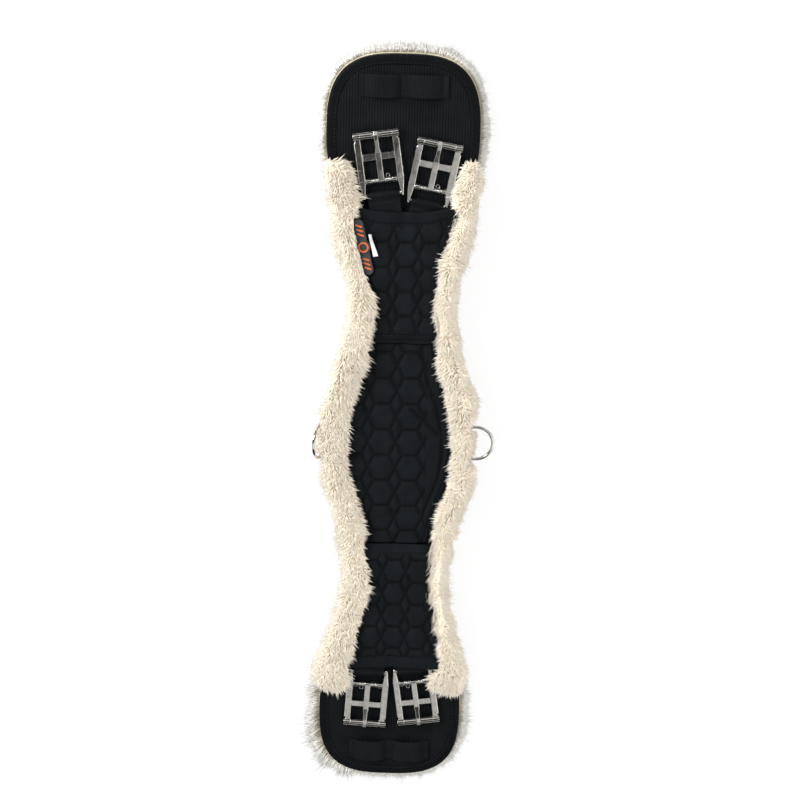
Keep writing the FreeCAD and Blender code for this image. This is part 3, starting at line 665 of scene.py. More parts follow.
def line_distance(x, y, line):
    """Distance from every place to a polyline: for each piece of it, to the nearest point on that piece."""
    nearest = np.full(x.shape, 1.0)
    for (x0, y0), (x1, y1) in zip(line[:-1], line[1:]):
        dx, dy = x1 - x0, y1 - y0
        t = np.clip(((x - x0) * dx + (y - y0) * dy) / (dx * dx + dy * dy), 0, 1)
        nearest = np.minimum(nearest, np.hypot(x - x0 - t * dx, y - y0 - t * dy))
    return nearest


def quilted(distance, pillow):
    """Seam depth from the distance to a seam: a bell-shaped groove, and a pillow that rises within a cell.
    Returns the height change and how much of the place is seam, which marks where painted shade darkens the
    cloth."""
    q = bpy.context.scene.girth_quilting
    seam = np.exp(-((distance / q.groove_width) ** 2))
    return pillow * smoothstep(distance / (9 * MM)) - q.groove * seam, np.exp(-((distance / (0.9 * MM)) ** 2))


def mixed_waves(points, size, rng, count=5):
    """A slow random pattern: the mean of sine waves of random direction, about one size apart."""
    waves = unit(rng.normal(size=(count, points.shape[-1]))) * 2 * np.pi / size
    waves *= rng.uniform(0.7, 1.4, (count, 1))
    return np.sin(points @ waves.T + rng.uniform(0, 2 * np.pi, count)).mean(-1) * np.sqrt(2)


# --- simulation -----------------------------------------------------------------------------------
def swollen(obj, voxel, cap, pressure=4.0):
    """Inflate a copy of a pad as cloth and return, for each of the copy's points, its rest place and its
    move, no longer than the cap. Nothing is left of the copy."""
    copy = obj.copy()
    copy.data = obj.data.copy()
    bpy.context.scene.collection.objects.link(copy)
    with bpy.context.temp_override(object=copy, active_object=copy, selected_objects=[copy]):
        remesh = copy.modifiers.new("remesh", "REMESH")
        remesh.mode, remesh.voxel_size = "VOXEL", voxel
        bpy.ops.object.modifier_apply(modifier=remesh.name)
        rest = np.zeros(len(copy.data.vertices) * 3, np.float32)
        copy.data.vertices.foreach_get("co", rest)
        cloth = copy.modifiers.new("cloth", "CLOTH")
        cloth.settings.use_pressure = True
        cloth.settings.uniform_pressure_force = pressure
        cloth.settings.effector_weights.gravity = 0.0
        for step in range(1, SIMULATED_FRAMES + 1):
            bpy.context.scene.frame_set(step)
        bpy.ops.object.modifier_apply(modifier=cloth.name)
    moved = np.zeros_like(rest)
    copy.data.vertices.foreach_get("co", moved)
    bpy.context.scene.frame_set(1)
    bpy.data.objects.remove(copy)
    rest, moved = rest.reshape(-1, 3).astype(float), moved.reshape(-1, 3).astype(float)
    move = moved - rest
    size = np.linalg.norm(move, axis=1, keepdims=True)
    return rest, move * np.minimum(1, cap / np.maximum(size, 1e-9))


def carried(points, rest, move, reach):
    """Moves of simulated points, passed on to other places: their mean weighted by the bell curve
    exp(-(distance / reach)^2), worked out for a batch of places at a time to save memory."""
    given, batch = np.zeros_like(points), 2000
    for first in range(0, len(points), batch):
        here = points[first:first + batch]
        far = ((here[:, None] - rest[None]) ** 2).sum(-1)
        weight = np.exp(-far / reach**2) + 1e-12
        given[first:first + batch] = weight @ move / weight.sum(1, keepdims=True)
    return given


def read_points(obj):
    """A mesh's points as an array."""
    co = np.zeros(len(obj.data.vertices) * 3, np.float32)
    obj.data.vertices.foreach_get("co", co)
    return co.reshape(-1, 3).astype(float)


def write_points(obj, points):
    """Put an array back as a mesh's points."""
    obj.data.vertices.foreach_set("co", points.astype(np.float32).ravel())
    obj.data.update()


# --- fur ------------------------------------------------------------------------------------------
STRAY_SHARE, STRAY_LENGTH = 0.05, 1.45  # some locks are longer than the rest
LOCK_DEPTH = 0.8 * MM                   # how deep a lock starts below the surface
FRINGE_REACH = 89 * MM                  # the edge's locks stay within this distance of the middle line
RING_NOTCH = 19 * MM                    # half length of the liner's notch beside a ring
RING_REACH = 17.5 * MM                  # half length along the girth that a swinging ring needs
LINER_SPLIT, WING_SPLIT = 114.5 * MM, 86 * MM  # where the liner's and the rolled edges' three pieces meet


def scattered(obj, count, rng):
    """Random places on a mesh, as many for each area: returns the places and the surface's directions."""
    mesh = obj.data
    mesh.calc_loop_triangles()
    index = np.zeros(len(mesh.loop_triangles) * 3, np.int32)
    mesh.loop_triangles.foreach_get("vertices", index)
    corner = read_points(obj)[index.reshape(-1, 3)]
    facing = np.cross(corner[:, 1] - corner[:, 0], corner[:, 2] - corner[:, 0])
    area = np.linalg.norm(facing, axis=1)
    pick = rng.choice(len(area), count, p=area / area.sum())
    a, b = rng.uniform(size=(2, count, 1))
    a, b = np.where(a + b > 1, 1 - a, a), np.where(a + b > 1, 1 - b, b)
    c = corner[pick]
    return c[:, 0] + a * (c[:, 1] - c[:, 0]) + b * (c[:, 2] - c[:, 0]), unit(facing[pick])


def flow(points, size, rng):
    """A slowly turning direction at each place."""
    return np.stack([mixed_waves(points, size, rng) for _ in range(3)], 1)


def locks(roots, facing, lean, size, radius, rng):
    """Fur locks: root + size * (t * first direction + t^2 * bend), thick below and pointed at the tip.
    Slow patterns of two sizes turn neighbours alike, so that the pile parts into soft clumps."""
    n = len(roots)
    t = np.array([0, 0.5, 1.0])[None, :, None]
    first = unit(facing + 0.3 * flow(roots, 24 * MM, rng) + 0.16 * rng.normal(size=(n, 3)) + lean)
    bend = 0.28 * flow(roots, 9 * MM, rng) + 0.12 * rng.normal(size=(n, 3)) + 0.5 * lean
    stray = np.where(rng.random((n, 1, 1)) < STRAY_SHARE, STRAY_LENGTH, 1.0)
    long = size * stray * rng.uniform(0.75, 1.15, (n, 1, 1))
    below = roots - LOCK_DEPTH * facing
    lines = below[:, None] + long * (t * first[:, None] + t**2 * bend[:, None] * 0.7)
    return lines, radius * rng.uniform(0.7, 1.25, (n, 1)) * np.array([1.0, 0.85])


def thirds(split):
    """The three stretches of the girth along y, split at one distance from its middle."""
    return {"near": (split, 1), "middle": (-split, split), "off": (-1, -split)}


class GirthOperator:
    """What every step shares: it can be undone, and it finishes or raises."""
    bl_options = {"REGISTER", "UNDO"}


class GIRTH_OT_liner(GirthOperator, bpy.types.Operator):
    """Make the fur liner, its hide and the hook tape"""
    bl_idname = "girth.liner"
    bl_label = "Fur liner"

    def execute(self, context):
        f = context.scene.girth_fur
        rng = np.random.default_rng(f.seed)
        low, high = corners("fur_liner")
        skin = disc("fur_liner_skin", 2 * MM, 6.5 * MM, high[2] - 0.2 * MM, 2.5 * MM)
        points = read_points(skin)
        notch = np.abs(points[:, 1] - RING_AT[1]) < RING_NOTCH
        edge = context.scene.girth_shape.belly_half + 1 * MM
        points[:, 0] = np.where(notch, np.clip(points[:, 0], -edge, edge), points[:, 0])
        write_points(skin, points)
        skin.data.uv_layers.new(name="UVMap")
        finish(skin, MATERIALS["pale_fur"], slot="fur", replaces=["fur_liner"])
        self.under(f, skin, low, edge, rng)
        self.fringe(f, low, edge, rng)
        low, high = corners("liner_backing")
        hide = disc("hide_backing", 1.3 * MM, low[2], high[2], 0.5 * MM)
        finish(hide, MATERIALS["hide"], slot="hide", replaces=["liner_backing"])
        low, high = corners("hook_tape")
        tape = disc("hook_tape_layer", -12 * MM, low[2] + 0.05 * MM, high[2] - 0.05 * MM, 0.4 * MM)
        finish(tape, MATERIALS["hook_tape"], slot="hook_tape", replaces=["hook_tape"])
        return {"FINISHED"}

    def place(self, name, lines, radii, low, edge, rng):
        """Keep locks above the lowest level and out of the rings' way, and make them a piece."""
        lines[:, :, 2] = np.maximum(lines[:, :, 2], low[2] + 0.4 * MM)
        lines[:, :, 0] = np.maximum(lines[:, :, 0], -FRINGE_REACH)
        by_ring = (np.abs(lines[:, -1, 1] - RING_AT[1]) < RING_REACH) & (np.abs(lines[:, -1, 0]) > edge)
        root = lines[:, :1].copy()
        root[:, :, 0] = np.clip(root[:, :, 0], -edge - 0.4 * MM, edge + 0.4 * MM)
        short = root + 0.45 * (lines - lines[:, :1])
        lines = np.where(by_ring[:, None, None], short, lines)
        made = tufts(name, lines, radii, rng)
        finish(made, MATERIALS["pale_fur"], slot="fur")

    def under(self, f, skin, low, edge, rng):
        """Longer, lying locks of the side that faces the horse, in three pieces along the girth."""
        roots, facing = scattered(skin, f.under_locks * 8, rng)
        for part, (start, stop) in thirds(LINER_SPLIT).items():
            here = np.flatnonzero((roots[:, 1] >= start) & (roots[:, 1] < stop) & (facing[:, 2] < -0.8))
            here = here[:f.under_locks]
            root, face = roots[here], facing[here]
            lean = 0.6 * flow(root, 60 * MM, rng) * (1, 1, 0)
            lines, radii = locks(root, face, lean, f.under_length, 1.7 * f.lock_radius, rng)
            self.place(f"fur_liner_locks_{part}", lines, radii, low, edge, rng)

    def fringe(self, f, low, edge, rng):
        """Short dense fur that stands out round the girth's edge, one piece for each half."""
        path, out = whole_outline(4000)
        for part, sign in ENDS.items():
            weight = np.where(sign * path[:, 1] > WING_END - 15 * MM, 5.0, 1.0) * (sign * path[:, 1] > 0)
            pick = rng.choice(len(path), f.fringe_locks, p=weight / weight.sum())
            turn = rng.uniform(-1.25, 0.75, f.fringe_locks)
            face = np.column_stack([out[pick] * np.cos(turn)[:, None], np.sin(turn)])
            root = np.column_stack([path[pick] + out[pick] * (0.2 + 1.9 * np.cos(turn)[:, None]) * MM,
                                    9.2 * MM + 2.6 * MM * np.sin(turn)])
            root[:, :2] += rng.normal(size=(f.fringe_locks, 2)) * 0.3 * MM
            lean = np.column_stack([0.5 * out[pick], np.zeros(f.fringe_locks)])
            size = f.fringe_length * (0.85 if sign > 0 else 1.0)
            size = size * (1 + 0.16 * mixed_waves(root, 25 * MM, rng))
            if sign < 0:
                front = smoothstep((-root[:, 0] - 20 * MM) / (35 * MM))
                past_wing = -root[:, 1] > WING_END - 20 * MM
                size *= 1 + front * (0.4 * past_wing + 0.5 * smoothstep((-root[:, 1] - 262 * MM) / (35 * MM)))
            size = size[:, None, None]
            lines, radii = locks(root, face, lean, size, f.lock_radius, rng)
            self.place(f"fur_fringe_locks_{part}", lines, radii, low, edge, rng)


# Rolled edge sections in millimetres: (outward distance from the body's edge, height), over a sleeve, over
# the belly panel and over an end plate.
ROLLS = {
    "front": {
        "sleeve": [(1.6, 12.8), (5.4, 15), (7, 20.5), (6.6, 27.5), (3, 32), (-3, 34), (-9, 34), (-13, 32.8),
                   (-10.5, 31.6), (-7, 30.6), (-4.4, 28), (-3, 23), (0.6, 20.9), (1.2, 15.5)],
        "belly": [(1.6, 12.8), (5.4, 15), (7, 20.5), (6.4, 27), (2.6, 31.2), (-5, 32.6), (-12, 31),
                  (-15.5, 28.6), (-12.5, 26.6), (-8, 25.9), (-6, 24), (-4, 21.6), (0.6, 20.9), (1.2, 15.5)],
        "plate": [(1.6, 12.8), (5.4, 15), (7, 20.5), (6.4, 26.5), (2.6, 30.4), (-6, 31.4), (-14, 29.4),
                  (-18, 25.6), (-15, 23), (-9.5, 22.4), (-5, 22.2), (-2.5, 21.4), (0.8, 20.6), (1.4, 15.5)]},
    "rear": {
        "sleeve": [(2.6, 12.8), (9, 14.8), (11.4, 20.5), (11, 27.5), (8, 32), (4, 34), (0.6, 34), (-2, 32.8),
                   (-2.6, 31.6), (-3, 30), (-3.2, 27), (-2.6, 23), (0.6, 20.9), (1.2, 15.5)],
        "belly": [(2.6, 12.8), (9, 14.8), (11.4, 20.5), (10.8, 27), (7.4, 31.4), (2, 33), (-3.4, 31.8),
                  (-7, 29.2), (-7.4, 27.2), (-6.4, 25.9), (-5.2, 24), (-3.8, 21.6), (0.6, 20.9), (1.2, 15.5)],
        "plate": [(2.6, 12.8), (9, 14.8), (11.4, 20.5), (10.8, 26.5), (6.6, 30.6), (-2, 31.6), (-10, 29.6),
                  (-14, 25.8), (-12, 23.2), (-8.5, 22.5), (-5, 22.2), (-2.5, 21.4), (0.8, 20.6),
                  (1.4, 15.5)]},
}
# How far the rolled edge's inner side lies further in (+) or out (-) than its section says: (y, amount)
# along the girth, in millimetres.
DRIFT = {
    "front": [(-250, 5), (-231, 2), (-205, 1), (-130, 1), (-111, -3), (-92, -2), (-60, -2), (-30, -1),
              (10, 2), (50, 0), (80, 2), (120, 1), (135, 0), (148, -6), (187, -7), (205, 0), (222, -1),
              (245, -1)],
    "rear": [(-250, 10), (-231, 9), (-205, 1), (-190, -3), (-170, -6), (-131, -8), (-111, -8), (-92, -5),
             (-50, -3), (-15, 0), (23, 4), (60, 2), (79, -1), (97, -2), (115, -3), (170, -3), (190, -4),
             (204, -5), (222, -6), (239, -4), (245, -2)],
}
# The same for its outer side: how far it is drawn in.
TRIM = {
    "front": [(-250, -3), (-231, -2), (-205, 0), (-180, 2), (-150, 2), (-125, 2), (-92, 1.5), (-50, 2),
              (20, 4), (45, 5.5), (70, 4), (115, 1.5), (150, 0), (190, -1.5), (205, 0.5), (222, 3), (245, 7)],
    "rear": [(-250, 4.5), (-231, 5), (-190, 5), (-150, 4.5), (-111, 1), (-92, 1), (-50, 1.5), (-30, 1),
             (23, 4), (60, 5), (80, 4), (115, 3.5), (150, 2), (190, 1), (205, 2), (222, 5), (245, 8)],
}


def drawn(table, y):
    """A table of (place, amount) read at y and smoothed by the mean of 17 neighbours."""
    at, amount = np.array(table).T
    count = 17
    line = np.pad(np.interp(y, at * MM, amount * MM), count // 2, mode="edge")
    return np.convolve(line, np.ones(count) / count, "valid")[:, None]


def wing_surface(side, rng):
    """The rolled edge: its section changes along the body's edge and closes to a point at each end.
    Near a ring its outer side draws in, so that the ring passes beside it."""
    sections = {k: np.array(v) * MM for k, v in ROLLS[side].items()}
    run = np.linspace(-1, 1, 260)
    y = WING_END * (np.sin(run * np.pi / 2) * 0.35 + run * 0.65)
    belly = smoothstep((y - SLEEVE["off"][1][1] + 4 * MM) / (14 * MM)) * smoothstep(
        (SLEEVE["near"][0][1] + 4 * MM - y) / (14 * MM))
    plate = smoothstep((y - SLEEVE["near"][1][1] + 6 * MM) / (16 * MM)) + smoothstep(
        (SLEEVE["off"][0][1] + 6 * MM - y) / (16 * MM))
    sleeve = 1 - belly - plate
    shares = {"sleeve": sleeve, "belly": belly, "plate": plate}
    section = sum(share[:, None, None] * sections[k] for k, share in shares.items())
    inner = smoothstep((4 * MM - section[:, :, 0]) / (8 * MM))
    inner = inner * smoothstep((section[:, :, 1] - 20 * MM) / (6 * MM))
    section[:, :, 0] -= inner * drawn(DRIFT[side], y)
    section[:, :, 0] -= smoothstep((section[:, :, 0] - 2 * MM) / (5 * MM)) * drawn(TRIM[side], y)
    beside = smoothstep((24 * MM - np.abs(y - RING_AT[1])) / (7 * MM))[:, None]
    section[:, :, 0] *= np.where(section[:, :, 0] > 0, 1 - 0.86 * beside, 1)
    section = rounded(section, 4)
    place = np.dstack([np.broadcast_to(y[:, None], section.shape[:2]), section])
    section[:, :, 0] += 0.8 * MM * mixed_waves(place, 30 * MM, rng)
    section[:, :, 1] += 0.7 * MM * mixed_waves(place, 30 * MM, rng) * (section[:, :, 1] > 30 * MM)
    close = np.sqrt(np.clip(1 - ((np.abs(y) - (WING_END - 13 * MM)) / (13 * MM)).clip(0, 1) ** 2, 0, 1))
    heart = np.array([-2.5 * MM, 25.5 * MM])
    section = heart + (section - heart) * close[:, None, None]
    sign = SIDES[side]
    path = np.stack([sign * half_width(y), y], 1)
    out = outward(path, False) * (1 if sign > 0 else -1)
    return swept(path, out, section)


class GIRTH_OT_wings(GirthOperator, bpy.types.Operator):
    """Make the two rolled fur edges and their locks"""
    bl_idname = "girth.wings"
    bl_label = "Rolled fur edges"

    def execute(self, context):
        f = context.scene.girth_fur
        for side, sign in SIDES.items():
            rng = np.random.default_rng(f.seed + 10 + sign)
            points = wing_surface(side, rng)
            skin = tube(f"fur_wing_{side}_skin", points, closed_ends=False)
            rest, move = swollen(skin, 5 * MM, 2.5 * MM)
            place = read_points(skin)
            inner = sign * place[:, 0] < half_width(place[:, 1])
            free = np.where(inner & (place[:, 2] < 31 * MM), 0.0, 1.0)[:, None]
            write_points(skin, place + free * carried(place, rest, move, 6 * MM))
            skin.data.uv_layers.new(name="UVMap")
            finish(skin, MATERIALS["fur"], slot="fur", replaces=[f"fur_wing_{side}"])
            roots, facing = scattered(skin, f.wing_locks * 12, rng)
            for part, (start, stop) in thirds(WING_SPLIT).items():
                here = np.flatnonzero((roots[:, 1] >= start) & (roots[:, 1] < stop))
                d = sign * roots[here, 0] - half_width(roots[here, 1])
                hidden = (d < 3 * MM) & (facing[here, 2] < -0.1)
                weight = np.where(hidden, 0.12, 1)
                pick = rng.choice(here, f.wing_locks, replace=False, p=weight / weight.sum())
                self.pile(f, side, sign, part, roots[pick], facing[pick], rng)
            self.tab_cover(f, side, sign, rng)
        return {"FINISHED"}

    def pile(self, f, side, sign, part, root, face, rng):
        """One piece of the pile: locks lean away from the roll's ridge and stay above the cloth below."""
        d = sign * root[:, 0] - half_width(root[:, 1])
        lean = np.zeros_like(root)
        lean[:, 1] = -0.35
        lean[:, 0] = sign * np.clip(d / (24 * MM), -0.3, 0.4)
        size = f.wing_length * (0.95 + 0.3 * mixed_waves(root, 30 * MM, rng))[:, None, None]
        lines, radii = locks(root, face, lean, size, f.lock_radius, rng)
        run = np.abs(lines[:, :, 1])
        on_sleeve = smoothstep((run - 88 * MM) / (14 * MM))
        floor = 26.1 * MM + 6.5 * MM * on_sleeve * smoothstep((222 * MM - run) / (14 * MM))
        inside = sign * lines[:, :, 0] < half_width(lines[:, :, 1]) - 5 * MM
        lines[:, :, 2] = np.where(inside, np.maximum(lines[:, :, 2], floor), lines[:, :, 2])
        tip = lines[:, -1]
        lost = np.abs(tip[:, 1] - RING_AT[1]) < 17 * MM
        lost &= (np.abs(tip[:, 0]) > 65 * MM) & (tip[:, 2] < 26 * MM)
        b = bpy.context.scene.girth_badge
        low, high = corners("rubber_badge")
        from_badge = tip[:, :2] - ((low + high) / 2)[:2]
        u = from_badge @ np.array([np.cos(b.turn), np.sin(b.turn)])
        v = from_badge @ np.array([-np.sin(b.turn), np.cos(b.turn)])
        lost |= (np.abs(v) < b.long / 2 + 1 * MM) & (u > -b.wide / 2 + 1 * MM) & (sign < 0)
        made = tufts(f"fur_wing_{side}_locks_{part}", lines[~lost], radii[~lost], rng)
        finish(made, MATERIALS["fur"], slot="fur")

    def tab_cover(self, f, side, sign, rng):
        """Locks that fall over a ring's webbing tab, inside the ring's own reach."""
        n = 2600
        across, along = sign * rng.uniform(60, 67.5, n) * MM, RING_AT[1] + rng.uniform(-11, 11, n) * MM
        root = np.column_stack([across, along, np.full(n, 23.6 * MM)])
        face = unit(np.column_stack([np.full(n, sign * 0.9), np.zeros(n), np.full(n, 0.75)]))
        lean = np.column_stack([np.full(n, 0.3 * sign), np.zeros((n, 1)), np.full(n, -0.1)])
        lines, radii = locks(root, face, lean, 5 * MM, f.lock_radius, rng)
        clear = np.abs(lines[:, -1, 1] - RING_AT[1]) < 12.5 * MM
        made = tufts(f"fur_wing_{side}_locks_tab", lines[clear], radii[clear], rng)
        finish(made, MATERIALS["fur"], slot="fur")


class GIRTH_OT_body(GirthOperator, bpy.types.Operator):
    """Make the padded body under the panels"""
    bl_idname = "girth.body"
    bl_label = "Padded body"

    def execute(self, context):
        body = disc("padded_body", 0.0, float(PANEL_LOW[2]) + 0.05 * MM, TOP_Z - 0.05 * MM, 2.6 * MM)
        finish(body, MATERIALS["body_cloth"], slot="body_cloth", replaces=["base_panel"])
        return {"FINISHED"}


# Extra seams of the belly panel beside its rear edge, in millimetres.
BELLY_SEAMS = [
    [(21, 84), (24, 62), (29, 45), (34, 33), (38, 18), (41, 0), (42, -16), (38, -40), (30, -62), (22, -84)],
    [(13, 26), (24, 15), (38, 2)],
]


def panel_grid(low_y, high_y, inset, step):
    """Places over a panel between two values of y: y in even steps, x in even shares of the width there."""
    rows = int((high_y - low_y) / step) + 1
    y = np.linspace(low_y, high_y, rows)
    half = half_width(y) - inset
    share = np.linspace(-1, 1, int(2 * half.max() / step) + 1)
    return share * half[:, None], np.repeat(y[:, None], len(share), 1), half[:, None]


class GIRTH_OT_belly(GirthOperator, bpy.types.Operator):
    """Make the quilted belly panel"""
    bl_idname = "girth.belly"
    bl_label = "Belly panel"

    def execute(self, context):
        s, q = context.scene.girth_shape, context.scene.girth_quilting
        x, y, half = panel_grid(float(BELLY_LOW[1]), float(BELLY_HIGH[1]), s.belly_inset, q.step)
        side = half - np.abs(x)
        end = np.minimum(y - BELLY_LOW[1], BELLY_HIGH[1] - y)
        rim = quarter_round(side / (6 * MM)) * quarter_round(end / (2.5 * MM))
        rise = float(BELLY_HIGH[2]) - TOP_Z
        low = np.full_like(x, TOP_Z + 0.05 * MM)
        height = rim * rise * (0.86 + 0.14 * smoothstep(side / (26 * MM)))
        faces = [np.dstack([x, y, z])[::4, ::4] for z in (low + height, low)]
        plain = envelope("belly_try", *faces)
        rest, move = swollen(plain, 4 * MM, 3 * MM)
        bpy.data.objects.remove(plain)
        move = move[rest[:, 2] > TOP_Z + 2 * MM]
        rest = rest[rest[:, 2] > TOP_Z + 2 * MM]
        flat = np.stack([x, y, low + height], -1).reshape(-1, 3)
        lift = carried(flat, rest, move, 6 * MM)[:, 2].reshape(x.shape)
        height = height + rim * np.clip(lift, 0, 2 * MM) * 0.5
        rows = 6.3 * MM
        d = hexagon_distance(x + 12.5 * MM, y - rows - q.belly_pitch / 2, 25 * MM, q.belly_pitch)
        d = np.where(x > 27 * MM, np.maximum(d, 6 * MM), d)
        for line in BELLY_SEAMS:
            d = np.minimum(d, line_distance(x, y, np.array(line) * MM))
        d = np.minimum(d, np.abs(side - 4.5 * MM) + 1.2 * MM)
        change, mark = quilted(d, 0.7 * MM)
        top = low + height + rim * (change - 0.7 * MM)
        bottom = np.dstack([x, y, low])
        # The seam mask on the top marks where painted shade darkens the grooves.
        made = envelope("belly_quilt", np.dstack([x, y, np.maximum(top, low)]), bottom,
                        marks={"seam": np.concatenate([mark.ravel(), 0 * mark.ravel()])})
        finish(made, MATERIALS["quilting"], slot="quilting", replaces=["belly_panel"])
        return {"FINISHED"}


def sleeve_rise(end, x, y):
    """Height of a sleeve's outer face: (1 - |x / half|^5)^(1/5) across, lower towards its hem,
    with a valley between the two bands that deepens towards the mouth."""
    s = bpy.context.scene.girth_shape
    low, high = SLEEVE[end]
    hem = low[1] if end == "near" else -high[1]
    mouth = high[1] if end == "near" else -low[1]
    run = np.abs(y)
    half = half_width(y) - s.sleeve_inset
    share = np.clip(np.abs(x) / half, 0, 1)
    rise = (1 - share**5) ** 0.2
    full = SLEEVE_Z - TOP_Z - 0.3 * MM
    height = full * (0.56 + 0.44 * smoothstep((run - hem) / (9 * MM)))
    middle = (3.0 if end == "near" else 0.0) * MM
    deepen = 0.6 * MM + 2.6 * MM * smoothstep((run - mouth + 30 * MM) / (30 * MM))
    valley = deepen * np.exp(-(((x - middle) / (5 * MM)) ** 2))
    return TOP_Z + rise * height - valley * (share < 1)


class GIRTH_OT_sleeves(GirthOperator, bpy.types.Operator):
    """Make the two quilted sleeves over the elastics"""
    bl_idname = "girth.sleeves"
    bl_label = "Quilted sleeves"

    def execute(self, context):
        s, q = context.scene.girth_shape, context.scene.girth_quilting
        rng = np.random.default_rng(31)
        sewn = []
        for end, sign in ENDS.items():
            low, high = SLEEVE[end]
            hem, mouth = (low[1], high[1]) if sign > 0 else (-high[1], -low[1])
            x, y, half = panel_grid(float(hem), float(mouth), s.sleeve_inset, q.step)
            lip = 9.0 * MM if sign > 0 else 3.0 * MM
            draw = smoothstep((y - mouth + 25 * MM) / (25 * MM))
            swing = np.clip(np.abs(x) / half, 0, 1) ** 3
            y = y + draw * lip * swing
            pitch = q.sleeve_pitch
            off_x, off_y = (5.2 * MM, 156 * MM - pitch / 2) if sign > 0 else (1.5 * MM, 128 * MM)
            d = hexagon_distance(x - off_x, y - off_y, 21.5 * MM, pitch)
            hem_seam, mouth_seam = hem + 7.5 * MM, mouth - 9.5 * MM
            curved = mouth_seam + lip * swing
            inside = smoothstep((y - hem_seam) / (1 * MM)) * smoothstep((curved - y) / (1 * MM))
            d = np.where(inside > 0.5, d, 12 * MM)
            lines = np.minimum(np.abs(y - hem_seam), np.abs(y - curved)) + 0.6 * MM
            d = np.minimum(d, lines)
            change, mark = quilted(d, 0.5 * MM)
            soft = smoothstep((half - np.abs(x)) / (7 * MM))
            place = np.dstack([x, y])
            crease = 0.35 * MM * mixed_waves(place, 30 * MM, rng)
            top = sleeve_rise(end, x, sign * y) + soft * (change - 0.5 * MM + crease)
            wall = soft * (3.0 * MM - 1.2 * MM * smoothstep(1 - (y - hem) / (8 * MM)))
            under = np.maximum(top - np.maximum(wall, 0.0), np.minimum(top, TOP_Z + 0.05 * MM))
            top = np.maximum(top, under)
            turn = np.linspace(0, np.pi, 7)[1:-1]
            lip_rows = [[], []]
            for k, (row, way) in enumerate(((-1, 1), (0, -1))):
                depth = top[row] - under[row]
                for t in (turn if way > 0 else turn[::-1]):
                    mid = (top[row] + under[row]) / 2 + depth / 2 * np.cos(t)
                    lip_rows[k].append(np.stack([x[row], y[row] + way * depth / 2 * np.sin(t), mid], -1))
            outer, inner = np.dstack([x, y, top]), np.dstack([x, y, under])[::-1]
            loop = np.concatenate([outer, np.array(lip_rows[0]), inner, np.array(lip_rows[1])])
            loop[:, :, 1] *= sign
            # The seam mask on the top marks where painted shade darkens the grooves.
            flat = np.concatenate([mark, np.zeros((len(loop) - len(mark), mark.shape[1]))])
            made = piece(f"{end}_sleeve_quilt", loop.reshape(-1, 3),
                         [grid_faces(*loop.shape[:2], (True, False))], marks={"seam": flat}, weld=0.02 * MM)
            finish(made, MATERIALS["quilting"], slot="quilting", replaces=[f"{end}_sleeve"])
            u = np.linspace(-0.86, 0.86, 90)
            for row_y in (np.full_like(u, hem_seam), mouth_seam + lip * np.abs(u) ** 3):
                row_x = u * (half_width(row_y) - s.sleeve_inset)
                row_z = sleeve_rise(end, row_x, sign * row_y) - 0.9 * MM
                sewn.append(np.stack([row_x, sign * row_y, row_z], 1))
        thread = stitches("sleeve_stitching", sewn, 3.2 * MM, 0.34 * MM, rng)
        finish(thread, MATERIALS["thread"], slot="quilting")
        return {"FINISHED"}


def band_section(half, thick, ribs, rise):
    """Closed section of a flat band: ribs |sin| on both faces, and edges rounded to half a circle."""
    count = ribs * 6 + 1
    x = np.linspace(-1, 1, count)
    rib = rise * (np.abs(np.sin(np.pi * ribs * (x + 1) / 2)) - 1)
    edge = np.sqrt(np.clip(1 - np.clip((np.abs(x) * half - half + thick / 2) / (thick / 2), 0, 1) ** 2, 0, 1))
    top = (thick / 2 + rib) * np.maximum(edge, 0.05)
    return np.concatenate([np.stack([x * half, top], 1), np.stack([x[::-1] * half, -top[::-1]], 1)])


